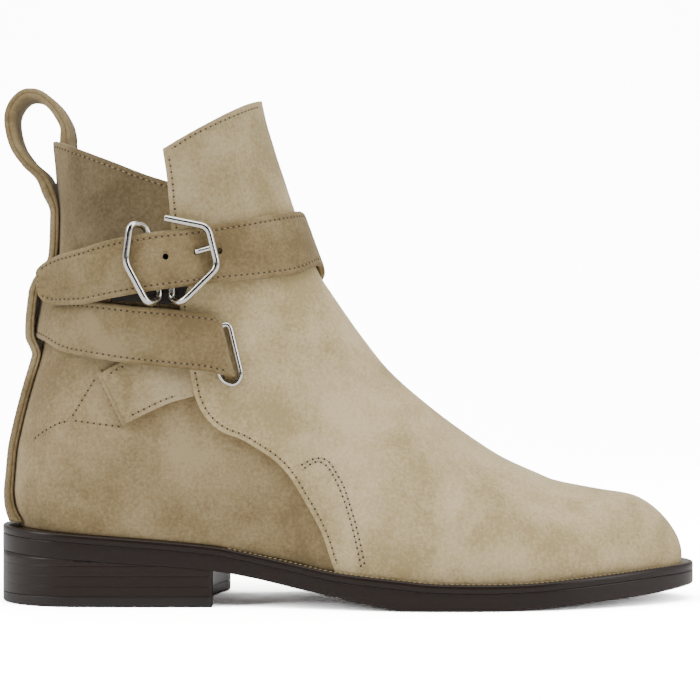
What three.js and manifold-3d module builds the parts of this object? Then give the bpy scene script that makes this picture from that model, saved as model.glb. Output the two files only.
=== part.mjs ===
// A right jodhpur boot: suede strap boot on a leather sole with a low stacked heel.
// Millimetres. +X points to the toe, -Y to the lateral (outer) side, +Z up. The floor is Z = 0
// and the origin lies under the middle of the sole.
import * as THREE from "three";
import { mergeVertices } from "three/addons/utils/BufferGeometryUtils.js";
import Module from "manifold-3d";

const wasm = await Module();
wasm.setup();

// Sole and heel sizes
const soleLength = 270;
const ballWidth = 93;
const waistWidth = 61;
const heelWidth = 62;
const seatHeight = 29.8;
const ballEdge = 9.9;
const toeSpring = 6.3;
const tipEdge = 8.4;
const weltThickness = 3.2;
const weltBand = 10;
const edgeRound = 0.9;
const liftThickness = 4;
const heelLength = 83.8;
const breastHollow = 4.5;
const breastSkew = 3.4;
const heelInset = 0.2;
const toeTurn = 4;

// Upper sizes
const shaftHeight = 164;
const instepHeight = 74;
const toeHeight = 34;
const counterWidth = 60;
const ankleWidth = 59;
const collarWidth = 68;
const upperWall = 1.8;
const vampWall = 1.8;
const weltLedge = 4.3;
const heelLedge = 3.5;
const insoleThickness = 3;

// Straps and hardware sizes
const strapThickness = 2.6;
const strapSlack = 3.9;
const stayThickness = 2.7;
const stayWidth = 22;
const stayFootWidth = 30;
const pullThickness = 3.9;
const tabWall = 2;
const chapeWall = 1.2;
const wire = 2.8;
const prongWire = 2.2;
const ringWire = 2.4;

// Every pair of pieces that touches keeps this much air
const clearance = 0.3;

// How far cutting solids run past what they cut
const margin = 20;

const halfLength = soleLength / 2;
const overlayOut = clearance + vampWall;

// Rows of a table as objects with named columns
function table(columns, rows) {
  return rows.map((row) => Object.fromEntries(columns.map((name, index) => [name, row[index]])));
}

// A smooth curve through a table's rows that never overshoots them
function curveAt(rows, key, value, at) {
  const last = rows.length - 1;
  if (at <= rows[0][key]) return rows[0][value];
  if (at >= rows[last][key]) return rows[last][value];
  let low = 0;
  while (rows[low + 1][key] < at) low += 1;
  const step = (row) => rows[row + 1][key] - rows[row][key];
  const slope = (row) => (rows[row + 1][value] - rows[row][value]) / step(row);
  const tangent = (row) => {
    if (row === 0) return slope(0);
    if (row === last) return slope(last - 1);
    const before = slope(row - 1);
    const after = slope(row);
    return before * after <= 0 ? 0 : (2 * before * after) / (before + after);
  };
  const t = (at - rows[low][key]) / step(low);
  const rise = t * t * (3 - 2 * t);
  const lead = t * (1 - t) * (1 - t) * step(low) * tangent(low);
  const trail = t * t * (t - 1) * step(low) * tangent(low + 1);
  return rows[low][value] * (1 - rise) + rows[low + 1][value] * rise + lead + trail;
}

const mix = (from, to, share) => from + (to - from) * share;
const clamp = (value, low, high) => Math.min(high, Math.max(low, value));
const smooth = (share) => clamp(share, 0, 1) ** 2 * (3 - 2 * clamp(share, 0, 1));
const roundEnd = (share) => Math.sqrt(Math.max(0, 1 - clamp(share, 0, 1) ** 2));

// The bed is the top of the sole edge, which the upper stands on. Along is a share of the sole's
// length from its middle, heel a share of the drop from seat to ball, toe a share of the rise to
// the tip.
const bedRows = table(["along", "heel", "toe"], [
  [-0.5, 1, 0],
  [-0.396, 0.895, 0],
  [-0.193, 0.663, 0],
  [-0.148, 0.553, 0],
  [-0.083, 0.377, 0],
  [-0.021, 0.211, 0],
  [0.061, 0.09, 0],
  [0.122, 0.015, 0],
  [0.185, 0, 0],
  [0.245, 0, 0.05],
  [0.306, 0, 0.29],
  [0.37, 0, 0.56],
  [0.436, 0, 0.83],
  [0.5, 0, 1],
]);
function bed(x) {
  const along = x / soleLength;
  const drop = (seatHeight - ballEdge) * curveAt(bedRows, "along", "heel", along);
  const rise = (toeSpring + tipEdge - ballEdge) * curveAt(bedRows, "along", "toe", along);
  return ballEdge + drop + rise;
}

// Underside of the sole: lift is a share of the sole's arch height at the breast, spring a share
// of the toe spring. The stretch of zeros is the flat spot that the forefoot stands on.
const archHeight = 13.6;
const flatFrom = 0.08;
const flatTo = 0.2;
const underRows = table(["along", "arch", "spring"], [
  [-0.5, 1.48, 0],
  [-0.396, 1.32, 0],
  [-0.2, 1.03, 0],
  [-0.14, 0.85, 0],
  [-0.07, 0.56, 0],
  [0, 0.28, 0],
  [0.045, 0.1, 0],
  [flatFrom, 0, 0],
  [flatTo, 0, 0],
  [0.26, 0, 0.12],
  [0.33, 0, 0.36],
  [0.41, 0, 0.61],
  [0.5, 0, 1],
]);
function under(x) {
  const along = x / soleLength;
  const arch = archHeight * curveAt(underRows, "along", "arch", along);
  return arch + toeSpring * curveAt(underRows, "along", "spring", along);
}

// Plan outline of the sole before its ends are rounded: half widths as shares of the width that
// the row follows
const outlineRows = table(["along", "lateral", "medial", "of"], [
  [-0.5, 1, 1, heelWidth],
  [-0.41, 1, 1, heelWidth],
  [-0.3, 1.03, 1.01, heelWidth],
  [-0.185, 1.04, 0.96, waistWidth],
  [-0.1, 1.16, 0.93, waistWidth],
  [-0.04, 0.855, 0.68, ballWidth],
  [0.04, 0.96, 0.82, ballWidth],
  [0.13, 1, 0.95, ballWidth],
  [0.19, 0.99, 1, ballWidth],
  [0.26, 0.945, 0.995, ballWidth],
  [0.35, 0.87, 0.94, ballWidth],
  [0.42, 0.815, 0.88, ballWidth],
  [0.5, 0.77, 0.81, ballWidth],
]).map((row) => ({
  along: row.along,
  lateral: (row.lateral * row.of) / 2,
  medial: (row.medial * row.of) / 2,
}));
const toeRoundFrom = 0.26 * soleLength;
const heelRoundFrom = -halfLength + heelWidth / 2;

// The middle line of the plan turns a little to the medial side at the toe
const middle = (x) => toeTurn * smooth((x - 0.2 * soleLength) / (0.3 * soleLength));

// Half width of the plan between a back and a toe end, with a ledge taken off
function outline(x, side, ledge, backEnd, toeEnd) {
  const full = curveAt(outlineRows, "along", side, x / soleLength) - ledge;
  const toeRound = roundEnd((x - toeRoundFrom) / (toeEnd - toeRoundFrom));
  const backRound = roundEnd((heelRoundFrom - x) / (heelRoundFrom - backEnd));
  return full * toeRound * backRound;
}
const soleHalf = (x, side) => outline(x, side, 0, -halfLength, halfLength);

// Front outline of the boot in side view, from the flap's top down the instep to the toe. Along is
// a share of the sole's length. Up is a share of the named height: the shaft's is counted from the
// seat, the others from the bed below.
const frontRows = table(["along", "up", "of"], [
  [-0.1305, 1.075, shaftHeight],
  [-0.1245, 0.992, shaftHeight],
  [-0.1081, 0.891, shaftHeight],
  [-0.0922, 0.811, shaftHeight],
  [-0.0759, 0.731, shaftHeight],
  [-0.043, 0.5915, shaftHeight],
  [-0.0248, 0.545, shaftHeight],
  [-0.0059, 0.4994, shaftHeight],
  [0.0144, 0.4524, shaftHeight],
  [0.057, 1.05, instepHeight],
  [0.1126, 0.889, instepHeight],
  [0.1641, 0.752, instepHeight],
  [0.2233, 0.611, instepHeight],
  [0.2715, 0.524, instepHeight],
  [0.2974, 1.038, toeHeight],
  [0.3341, 0.953, toeHeight],
  [0.3711, 0.878, toeHeight],
  [0.4007, 0.824, toeHeight],
  [0.4304, 0.738, toeHeight],
  [0.46, 0.64, toeHeight],
  [0.49, 0.53, toeHeight],
]).map((row) => {
  const foot = row.of === shaftHeight ? seatHeight : bed(row.along * soleLength);
  return { x: row.along * soleLength, z: foot + row.up * row.of };
});

// The toe's end: past this share of the length the front outline rounds down to the bed
const toeRoundStart = 0.41 * soleLength;
const upperToe = halfLength - weltLedge - overlayOut;
const toeTipHeight = 2.5;

// The front outline is that of the vamp's outer face, so the form beneath is set back along the
// outline's own normal
const formFront = frontRows.map((row, index) => {
  const before = frontRows[Math.max(0, index - 1)];
  const after = frontRows[Math.min(frontRows.length - 1, index + 1)];
  const length = Math.hypot(after.x - before.x, after.z - before.z);
  return {
    x: row.x + (overlayOut * (after.z - before.z)) / length,
    z: row.z - (overlayOut * (after.x - before.x)) / length,
  };
});
const frontLine = (x) => curveAt(formFront, "x", "z", x);

// Height of the form's ridge over a place along the foot
function ridge(x) {
  const plain = frontLine(x);
  const tip = bed(upperToe) + toeTipHeight;
  const share = (x - toeRoundStart) / (upperToe - toeRoundStart);
  return share <= 0 ? plain : tip + (plain - tip) * roundEnd(share);
}

// Place of the form's front at a height, found by halving
function frontAt(z) {
  let low = formFront[0].x;
  let high = formFront[formFront.length - 1].x;
  for (let turn = 0; turn < 30; turn += 1) {
    const centre = (low + high) / 2;
    if (frontLine(centre) > z) low = centre;
    else high = centre;
  }
  return (low + high) / 2;
}

// Back outline of the form in side view: up is a share of the shaft's height above the seat, in a
// share of the sole's length forward of the upper's rearmost point
const backRows = table(["up", "in"], [
  [-0.03, 0.0125],
  [0.005, 0.0085],
  [0.04, 0.0015],
  [0.075, 0],
  [0.12, 0.0022],
  [0.173, 0.0052],
  [0.23, 0.0122],
  [0.275, 0.0189],
  [0.323, 0.0267],
  [0.376, 0.0363],
  [0.43, 0.0455],
  [0.49, 0.053],
  [0.55, 0.0595],
  [0.624, 0.064],
  [0.731, 0.0662],
  [0.836, 0.0625],
  [0.906, 0.0588],
  [1.08, 0.057],
]);
const backMost = -halfLength + heelLedge;
const backAt = (z) =>
  backMost + soleLength * curveAt(backRows, "up", "in", (z - seatHeight) / shaftHeight);

// Level sections of the shaft and heel: half width as a share of the row's own size, and the depth
// over which the back and the front round off, as shares of the same size
const levelRows = table(["up", "half", "back", "front", "of"], [
  [-0.1, 0.46, 0.56, 1.5, counterWidth],
  [0, 0.475, 0.56, 1.5, counterWidth],
  [0.1, 0.5, 0.55, 1.45, counterWidth],
  [0.22, 0.492, 0.55, 1.3, counterWidth],
  [0.4, 0.5, 0.58, 0.98, ankleWidth],
  [0.55, 0.51, 0.62, 0.8, ankleWidth],
  [0.75, 0.472, 0.56, 0.66, collarWidth],
  [0.9, 0.5, 0.57, 0.62, collarWidth],
  [1.05, 0.505, 0.57, 0.6, collarWidth],
]).map((row) => ({
  up: row.up,
  half: row.half * row.of,
  back: row.back * row.of,
  front: row.front * row.of,
}));
function levelHalf(x, z) {
  const up = (z - seatHeight) / shaftHeight;
  const fromBack = (x - backAt(z)) / curveAt(levelRows, "up", "back", up);
  const fromFront = (frontAt(z) - x) / curveAt(levelRows, "up", "front", up);
  return curveAt(levelRows, "up", "half", up) * roundEnd(1 - fromBack) * roundEnd(1 - fromFront);
}

// Upright sections of the foot: how far the sole's edge stands out past the overlays, as a share of
// the welt's ledge, and how full the arch over the foot is, from peaked at the instep to round at
// the toe
const footRows = table(["along", "ledge", "full"], [
  [-0.2, 0.12, 0.62],
  [-0.08, 0.35, 0.64],
  [0.04, 0.77, 0.66],
  [0.15, 0.95, 0.64],
  [0.3, 1, 0.52],
  [0.5, 1.05, 0.5],
]);
const archPower = 2.2;
const sideSwell = 1.7;
const swellEnd = 0.074 * soleLength;
const swellPeak = 4 / 27;
function footHalf(x, z, side) {
  const along = x / soleLength;
  const share = clamp((z - bed(x)) / Math.max(0.01, ridge(x) - bed(x)), 0, 1);
  const ledge = overlayOut + weltLedge * curveAt(footRows, "along", "ledge", along);
  const base = outline(x, side, ledge, backMost, upperToe);
  const arch = (1 - share ** archPower) ** curveAt(footRows, "along", "full", along);
  const swell = (sideSwell / swellPeak) * share * (1 - share) ** 2;
  return base * arch + swell * smooth((upperToe - x) / swellEnd);
}

// Half width of the form at any place in side view. Heel and shaft follow the level sections, the
// foot the upright ones, and they blend over a slanted band across the instep.
const blendFrom = -0.074 * soleLength;
const blendSlope = 0.6;
const blendHalf = 0.11 * soleLength;
function halfWidth(x, z, side) {
  const centre = blendFrom + blendSlope * (z - ballEdge);
  const foot = smooth((x - centre + blendHalf) / (2 * blendHalf));
  if (foot <= 0) return levelHalf(x, z);
  if (foot >= 1) return footHalf(x, z, side);
  return mix(levelHalf(x, z), footHalf(x, z, side), foot);
}

const lateral = "lateral";
const medial = "medial";
const sign = (side) => (side === lateral ? -1 : 1);

// Outward direction of the form's skin at a place in side view
function skinNormal(x, z, side) {
  const probe = 0.05;
  const here = halfWidth(x, z, side);
  const along = halfWidth(x + probe, z, side) > 0 ? probe : -probe;
  const up = halfWidth(x, z + probe, side) > 0 ? probe : -probe;
  const slopeAlong = (halfWidth(x + along, z, side) - here) / along;
  const slopeUp = (halfWidth(x, z + up, side) - here) / up;
  return new THREE.Vector3(-slopeAlong, sign(side), -slopeUp).normalize();
}

// A point on the skin seen at a place in side view, moved out by a distance
function skinPoint(x, z, side, out) {
  const point = new THREE.Vector3(x, middle(x) + sign(side) * halfWidth(x, z, side), z);
  return point.addScaledVector(skinNormal(x, z, side), out);
}

// A point on the skin by its turn round the shaft at a height: 0 at the back, 0.5 at the front,
// lateral below 0 and medial above it
function turnPoint(turn, z, out) {
  const place = (turnAt, height) => {
    const share = (1 - Math.cos(2 * Math.PI * turnAt)) / 2;
    const x = mix(backAt(height), frontAt(height), share);
    const round = Math.sin(2 * Math.PI * turnAt);
    const side = round < 0 ? lateral : medial;
    return new THREE.Vector3(x, Math.sign(round) * halfWidth(x, height, side), height);
  };
  const probe = 0.002;
  const around = place(turn + probe, z).sub(place(turn - probe, z));
  const upward = place(turn, z + 1).sub(place(turn, z - 1));
  return place(turn, z).addScaledVector(upward.cross(around).normalize(), out);
}

// A closed solid from loose triangles, each a run of three points
function solidFrom(triangles) {
  const flat = new Float32Array(triangles.flatMap((corner) => [corner.x, corner.y, corner.z]));
  const loose = new THREE.BufferGeometry();
  loose.setAttribute("position", new THREE.BufferAttribute(flat, 3));
  const merged = mergeVertices(loose, 1e-4);
  const corners = merged.index.array;
  const kept = [];
  for (let at = 0; at < corners.length; at += 3) {
    const [a, b, c] = corners.slice(at, at + 3);
    if (a !== b && b !== c && c !== a) kept.push(a, b, c);
  }
  const build = (order) =>
    new wasm.Manifold(
      new wasm.Mesh({
        numProp: 3,
        vertProperties: merged.attributes.position.array,
        triVerts: new Uint32Array(order),
      }),
    );
  const made = build(kept);
  return made.volume() > 0 ? made : build(kept.reverse());
}

function quad(triangles, a, b, c, d) {
  triangles.push(a, b, c, a, c, d);
}

// A solid from equal rings of points. A ring runs along one face and back along the other, so an
// open loft's ends close by strips between the two runs, and a closed one joins up.
function loft(rings, closed = false) {
  const triangles = [];
  const count = rings[0].length;
  const spans = closed ? rings.length : rings.length - 1;
  for (let at = 0; at < spans; at += 1) {
    const here = rings[at];
    const next = rings[(at + 1) % rings.length];
    for (let side = 0; side < count; side += 1) {
      const over = (side + 1) % count;
      quad(triangles, here[side], here[over], next[over], next[side]);
    }
  }
  if (!closed) {
    const first = rings[0];
    const last = rings[rings.length - 1];
    for (let side = 0; side < count / 2 - 1; side += 1) {
      const far = count - 1 - side;
      quad(triangles, first[side], first[far], first[far - 1], first[side + 1]);
      quad(triangles, last[side], last[side + 1], last[far - 1], last[far]);
    }
  }
  return solidFrom(triangles);
}

// The whole form of the upper, closed top and bottom, with its skin moved out by a distance. Rings
// run round the foot up to the throat, and above it round the shaft. The columns past the throat
// close over the foot along the ridge.
const shaftColumns = 18;
const toeColumns = 11;
const footRings = 7;
const shaftRings = 10;
const throatX = 0.074 * soleLength;
const throatFootX = 0.11 * soleLength;
const throatZ = ridge(throatX);
const heelRingZ = seatHeight + 0.275 * shaftHeight;
const formTop = seatHeight + 1.06 * shaftHeight;

function gridPlace(ring, column) {
  const shaftShare = Math.min(1, column / shaftColumns);
  const spaced = (1 - Math.cos(Math.PI * shaftShare)) / 2;
  if (ring > footRings) {
    const up = (ring - footRings) / shaftRings;
    const back = mix(heelRingZ, formTop, up);
    const front = mix(throatZ, formTop, up);
    return { x: mix(backAt(back), frontAt(front), spaced), z: mix(back, front, spaced) };
  }
  const up = ring / footRings;
  const backX = backAt(mix(bed(backMost), heelRingZ, up));
  const turnX = mix(throatFootX, throatX, up);
  const toeShare = Math.max(0, column - shaftColumns) / toeColumns;
  const toeSpaced = 0.35 * toeShare + 0.65 * Math.sin((Math.PI * toeShare) / 2);
  const x = toeShare > 0 ? mix(turnX, upperToe, toeSpaced) : mix(backX, turnX, spaced);
  const heelX = backAt(heelRingZ);
  const line = mix(heelRingZ, throatZ, (x - heelX) / (throatX - heelX));
  return { x, z: mix(bed(x), x < throatX ? line : ridge(x), up) };
}

function formPoint(ring, column, side, out) {
  const { x, z } = gridPlace(ring, column);
  const onRidge = ring >= footRings && column >= shaftColumns;
  const flat = new THREE.Vector3(x, middle(x), z);
  if (column === 0) {
    const lean = backAt(z + 0.5) - backAt(z - 0.5);
    return flat.addScaledVector(new THREE.Vector3(-1, 0, lean).normalize(), out);
  }
  if (column === shaftColumns + toeColumns) return flat.add(new THREE.Vector3(out, 0, 0));
  if (onRidge) {
    const fall = ridge(x - 0.5) - ridge(x + 0.5);
    return flat.addScaledVector(new THREE.Vector3(fall, 0, 1).normalize(), out);
  }
  return skinPoint(x, z, side, out);
}

// The form that hollows another out runs this far down past its open underside
const openBelow = 3;

function form(out, drop = 0) {
  const lastColumn = shaftColumns + toeColumns;
  const lastRing = footRings + shaftRings;
  const skin = { lateral: [], medial: [] };
  for (const side of [lateral, medial]) {
    for (let ring = 0; ring <= lastRing; ring += 1) {
      skin[side].push([]);
      const columns = ring > footRings ? shaftColumns : lastColumn;
      for (let column = 0; column <= columns; column += 1) {
        const point = formPoint(ring, column, side, out);
        if (ring === 0) point.z = bed(point.x) + clearance;
        if (ring === lastRing) point.z = formTop;
        skin[side][ring].push(point);
      }
    }
    if (drop > 0) skin[side].unshift(skin[side][0].map((point) => point.clone().setZ(point.z - drop)));
  }
  const triangles = [];
  const zipped = footRings + (drop > 0 ? 1 : 0);
  const rings = skin.lateral.length;
  for (const side of [lateral, medial]) {
    for (let ring = 0; ring < rings - 1; ring += 1) {
      const columns = ring >= zipped ? shaftColumns : lastColumn;
      for (let column = 0; column < columns; column += 1) {
        const corners = [
          skin[side][ring][column],
          skin[side][ring][column + 1],
          skin[side][ring + 1][column + 1],
          skin[side][ring + 1][column],
        ];
        if (side === medial) corners.reverse();
        quad(triangles, ...corners);
      }
    }
  }
  const lid = (ring, columns, up) => {
    for (let column = 0; column < columns; column += 1) {
      const corners = [
        skin.lateral[ring][column],
        skin.lateral[ring][column + 1],
        skin.medial[ring][column + 1],
        skin.medial[ring][column],
      ];
      if (!up) corners.reverse();
      quad(triangles, ...corners);
    }
  };
  lid(0, lastColumn, false);
  lid(rings - 1, shaftColumns, true);
  return solidFrom(triangles);
}

// A solid that cuts in side view: an outline in x and z, through the whole boot or only through its
// lateral side
function sideCutter(outlinePoints, lateralOnly = false) {
  const from = -ballWidth;
  const to = lateralOnly ? 0 : ballWidth;
  const flat = outlinePoints.map((point) => new THREE.Vector2(point.x, point.z));
  if (THREE.ShapeUtils.isClockWise(flat)) flat.reverse();
  const faces = THREE.ShapeUtils.triangulateShape(flat, []);
  const near = flat.map((point) => new THREE.Vector3(point.x, from, point.y));
  const far = flat.map((point) => new THREE.Vector3(point.x, to, point.y));
  const triangles = [];
  for (const [a, b, c] of faces) {
    triangles.push(near[a], near[b], near[c]);
    triangles.push(far[a], far[c], far[b]);
  }
  for (let at = 0; at < flat.length; at += 1) {
    const next = (at + 1) % flat.length;
    quad(triangles, near[next], near[at], far[at], far[next]);
  }
  return solidFrom(triangles);
}

// A place in side view from shares: along the sole's length, and up the shaft's height. Low places
// count from the bed below them, high ones from the seat.
const lowUp = 0.3;
function sidePlace(row) {
  const x = row.along * soleLength;
  const foot = mix(bed(x), seatHeight, smooth(row.up / lowUp));
  return { x, z: foot + row.up * shaftHeight };
}

// Points of a soft line through places, thinned to what its bends need
function softLine(rows, steps) {
  const places = rows.map(sidePlace).map((place) => new THREE.Vector3(place.x, 0, place.z));
  const line = new THREE.CatmullRomCurve3(places, false, "centripetal");
  return line.getPoints(steps).map((point) => ({ x: point.x, z: point.z }));
}

// Plan slab of the sole between two heights, each a function of x, with its outline set in by a
// ledge. The lower edge is rounded off.
const slabStations = 34;
const stationGap = 2;
function slab(top, bottom, ledge, rounding) {
  const places = [];
  for (let at = 0; at <= slabStations; at += 1) {
    places.push(-Math.cos((Math.PI * at) / slabStations) * (halfLength - ledge));
  }
  const stand = [flatFrom * soleLength, flatTo * soleLength];
  const kept = places.filter((x) => stand.every((edge) => Math.abs(x - edge) > stationGap));
  const stations = [...kept, ...stand].sort((a, b) => a - b);
  const rings = stations.map((x) => {
    const end = halfLength - ledge;
    const half = (side) => outline(x, side, ledge, -end, end);
    const reach = { lateral: middle(x) - half(lateral), medial: middle(x) + half(medial) };
    const tuck = Math.min(rounding, (reach.medial - reach.lateral) / 3);
    const low = bottom(x);
    const high = top(x);
    return [
      new THREE.Vector3(x, reach.lateral, high),
      new THREE.Vector3(x, reach.lateral, low + Math.min(rounding, (high - low) / 2)),
      new THREE.Vector3(x, reach.lateral + tuck, low),
      new THREE.Vector3(x, reach.medial - tuck, low),
      new THREE.Vector3(x, reach.medial, low + Math.min(rounding, (high - low) / 2)),
      new THREE.Vector3(x, reach.medial, high),
    ];
  });
  return loft(rings);
}

// Welt: a band round the sole's edge that the upper stands on
const weltUnder = (x) => bed(x) - weltThickness;
const welt = slab(bed, weltUnder, 0, 0).subtract(
  slab((x) => bed(x) + margin, (x) => weltUnder(x) - margin, weltBand, 0),
);

// Outsole
const outsoleTop = (x) => weltUnder(x) - clearance;
const outsole = slab(outsoleTop, under, 0, edgeRound);

// Heel: plan outline of the sole behind a hollow breast, which runs further forward medially
const heelSteps = 14;
const breastSteps = 8;
function heelPlan(inset) {
  const breastLateral = -halfLength + heelLength;
  const breastMedial = breastLateral + breastSkew;
  const plan = [];
  const end = halfLength - inset;
  for (const side of [medial, lateral]) {
    const front = side === medial ? breastMedial : breastLateral;
    for (let at = 0; at <= heelSteps; at += 1) {
      const share = side === medial ? at / heelSteps : 1 - at / heelSteps;
      const x = mix(front, -end, Math.sin((Math.PI * share) / 2));
      const y = sign(side) * outline(x, side, inset, -end, end);
      if (side === medial || at > 0) plan.push(new THREE.Vector2(x, y));
    }
  }
  const from = plan[plan.length - 1];
  const to = plan[0];
  for (let at = 1; at < breastSteps; at += 1) {
    const share = at / breastSteps;
    const hollow = 4 * share * (1 - share) * breastHollow;
    plan.push(new THREE.Vector2(mix(from.x, to.x, share) - hollow, mix(from.y, to.y, share)));
  }
  return plan;
}
function upright(plan, low, high) {
  const body = new THREE.ExtrudeGeometry(new THREE.Shape(plan), {
    depth: high - low,
    bevelEnabled: false,
  }).translate(0, 0, low);
  const corners = body.getAttribute("position");
  const points = [];
  for (let at = 0; at < corners.count; at += 1) {
    points.push(new THREE.Vector3().fromBufferAttribute(corners, at));
  }
  return solidFrom(points);
}
const topLift = upright(heelPlan(2 * heelInset), 0, liftThickness);
const heelStack = upright(heelPlan(heelInset), liftThickness + clearance, seatHeight).subtract(
  slab(() => seatHeight + margin, (x) => under(x) - clearance, -weltLedge, 0),
);

// Insole: the footbed inside the wall, on the welt's inner band
const insoleStations = 32;
const insoleIn = upperWall + 3.5 * clearance;
const insoleRings = [];
for (let at = 0; at <= insoleStations; at += 1) {
  const share = (1 - Math.cos((Math.PI * at) / insoleStations)) / 2;
  const x = mix(backAt(bed(backMost)) + 0.01, upperToe - 0.01, share);
  const low = bed(x) + clearance;
  const atEnd = at === 0 || at === insoleStations;
  const edge = (side, rise) => {
    const point = skinPoint(x, low + insoleThickness / 2, side, -insoleIn);
    if (atEnd) point.set(x + (at === 0 ? insoleIn : -insoleIn), middle(x), 0);
    return point.setZ(bed(point.x) + clearance + rise);
  };
  insoleRings.push([
    edge(lateral, 0),
    edge(lateral, insoleThickness),
    edge(medial, insoleThickness),
    edge(medial, 0),
  ]);
}
const insole = loft(insoleRings);

// Quarters: the hollow body of the upper, from collar to toe, open at the top and underneath
const collarRows = table(["along", "up"], [
  [-0.47, 0.918],
  [-0.42, 0.901],
  [-0.39, 0.881],
  [-0.335, 0.846],
  [-0.27, 0.806],
  [-0.245, 0.796],
  [-0.222, 0.804],
  [-0.205, 0.842],
  [-0.185, 0.9],
  [-0.155, 0.94],
  [-0.09, 0.985],
]);
const belowCollar = [
  { x: halfLength + margin, z: formTop + margin },
  { x: halfLength + margin, z: -margin },
  { x: -halfLength - margin, z: -margin },
  { x: -halfLength - margin, z: sidePlace(collarRows[0]).z },
];
const collarCut = sideCutter([...softLine(collarRows, 24), ...belowCollar]);
const quarters = form(0).subtract(form(-upperWall, openBelow)).intersect(collarCut);

// Vamp: over the quarters in front, with the tall flap that stands free above them
const vampEdgeRows = table(["along", "up"], [
  [0.0, -0.08],
  [-0.0189, 0.009],
  [-0.0259, 0.036],
  [-0.033, 0.062],
  [-0.0459, 0.091],
  [-0.0644, 0.124],
  [-0.0885, 0.163],
  [-0.1085, 0.184],
  [-0.1256, 0.197],
  [-0.1533, 0.217],
  [-0.1737, 0.226],
  [-0.1944, 0.248],
  [-0.2093, 0.28],
  [-0.2148, 0.302],
  [-0.2189, 0.335],
  [-0.2226, 0.365],
  [-0.237, 0.525],
  [-0.2493, 0.726],
  [-0.2544, 0.816],
  [-0.2596, 0.871],
]);
const flapRows = table(["along", "up"], [
  [-0.2596, 0.871],
  [-0.2237, 0.911],
  [-0.1937, 0.939],
  [-0.1619, 0.969],
  [-0.1411, 0.99],
  [-0.131, 1],
  [-0.11, 1.0],
]);
const vampRegion = [
  ...softLine(vampEdgeRows, 34),
  ...softLine(flapRows, 10).slice(1),
  { x: halfLength + margin, z: formTop + margin },
  { x: halfLength + margin, z: -margin },
  { x: 0, z: -margin },
];
const vamp = form(overlayOut)
  .subtract(form(clearance, openBelow))
  .intersect(sideCutter(vampRegion));

// Back stay: one doubled strip up the back seam. It bulges as a loop over the strap, and above the
// collar turns over as the pull loop, whose end lies inside the collar. Bulge is a share of the
// room that the strap and its slack take.
const loopRoom = strapThickness + strapSlack;
const stayRows = table(["up", "bulge", "width"], [
  [0.008, 0.05, stayFootWidth],
  [0.05, 0.03, 0.85 * stayFootWidth],
  [0.12, 0, 0.77 * stayFootWidth],
  [0.2, 0, 1.01 * stayWidth],
  [0.3, 0, stayWidth],
  [0.39, 0, stayWidth],
  [0.41, 0.09, stayWidth],
  [0.43, 0.55, stayWidth],
  [0.45, 0.74, stayWidth],
  [0.48, 0.88, stayWidth],
  [0.51, 0.95, stayWidth],
  [0.545, 1, stayWidth],
  [0.575, 0.83, stayWidth],
  [0.6, 0.4, stayWidth],
  [0.625, 0.06, stayWidth],
  [0.66, 0, stayWidth],
  [0.74, 0, stayWidth],
]);
const staySteps = 26;
const stayPath = [];
for (let at = 0; at <= staySteps; at += 1) {
  const up = mix(stayRows[0].up, stayRows[stayRows.length - 1].up, at / staySteps);
  const z = seatHeight + up * shaftHeight;
  const bulge = loopRoom * curveAt(stayRows, "up", "bulge", up);
  const out = 1.5 * clearance + stayThickness / 2 + bulge;
  stayPath.push({
    x: backAt(z) - out,
    z,
    width: curveAt(stayRows, "up", "width", up),
    thick: stayThickness,
    hug: 1,
  });
}
// The pull loop's middle line: out behind the collar's back edge, up over the collar's height
const loopHeight = 20.5;
const loopReach = 15.4;
const loopRows = table(["out", "up", "hug"], [
  [0.165, -0.927, 1],
  [0.29, -0.68, 0.6],
  [0.584, -0.43, 0],
  [0.857, -0.146, 0],
  [1, 0.19, 0],
  [1.02, 0.493, 0],
  [0.883, 0.727, 0],
  [0.63, 0.878, 0],
  [0.351, 0.878, 0],
  [0.052, 0.737, 0],
  [-0.2, 0.517, 0],
  [-0.3, 0.312, 0.4],
  [-0.285, 0.09, 1],
]);
const collarBackZ = seatHeight + 0.905 * shaftHeight;
const loopSpine = backAt(collarBackZ);
for (const row of loopRows) {
  stayPath.push({
    x: loopSpine - row.out * loopReach,
    z: collarBackZ + row.up * loopHeight,
    width: stayWidth,
    thick: pullThickness,
    hug: row.hug,
  });
}
const tagIn = upperWall + 2 * clearance + pullThickness / 2;
const tagUps = [0.86, 0.82];
for (const up of tagUps) {
  const z = seatHeight + up * shaftHeight;
  stayPath.push({ x: backAt(z) + tagIn, z, width: stayWidth, thick: pullThickness, hug: 1 });
}
// How far the skin's back has drawn forward at a distance from the seam
function backDraw(y, z) {
  const up = (z - seatHeight) / shaftHeight;
  const half = curveAt(levelRows, "up", "half", up);
  return curveAt(levelRows, "up", "back", up) * (1 - Math.sqrt(1 - (y / half) ** 2));
}
function stayRing(at) {
  const here = stayPath[at];
  const before = stayPath[Math.max(0, at - 1)];
  const after = stayPath[Math.min(stayPath.length - 1, at + 1)];
  const run = new THREE.Vector2(after.x - before.x, after.z - before.z).normalize();
  const outward = new THREE.Vector2(-run.y, run.x);
  const across = [-1, -0.55, 0, 0.55, 1];
  const level = Math.min(here.z, collarBackZ);
  const edge = (out, order) =>
    order.map((share) => {
      const y = (share * here.width) / 2;
      const draw = here.hug * backDraw(y, level);
      return new THREE.Vector3(here.x + outward.x * out + draw, y, here.z + outward.y * out);
    });
  return [...edge(here.thick / 2, across), ...edge(-here.thick / 2, [...across].reverse())];
}
const backStay = loft(stayPath.map((place, at) => stayRing(at)));

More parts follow.
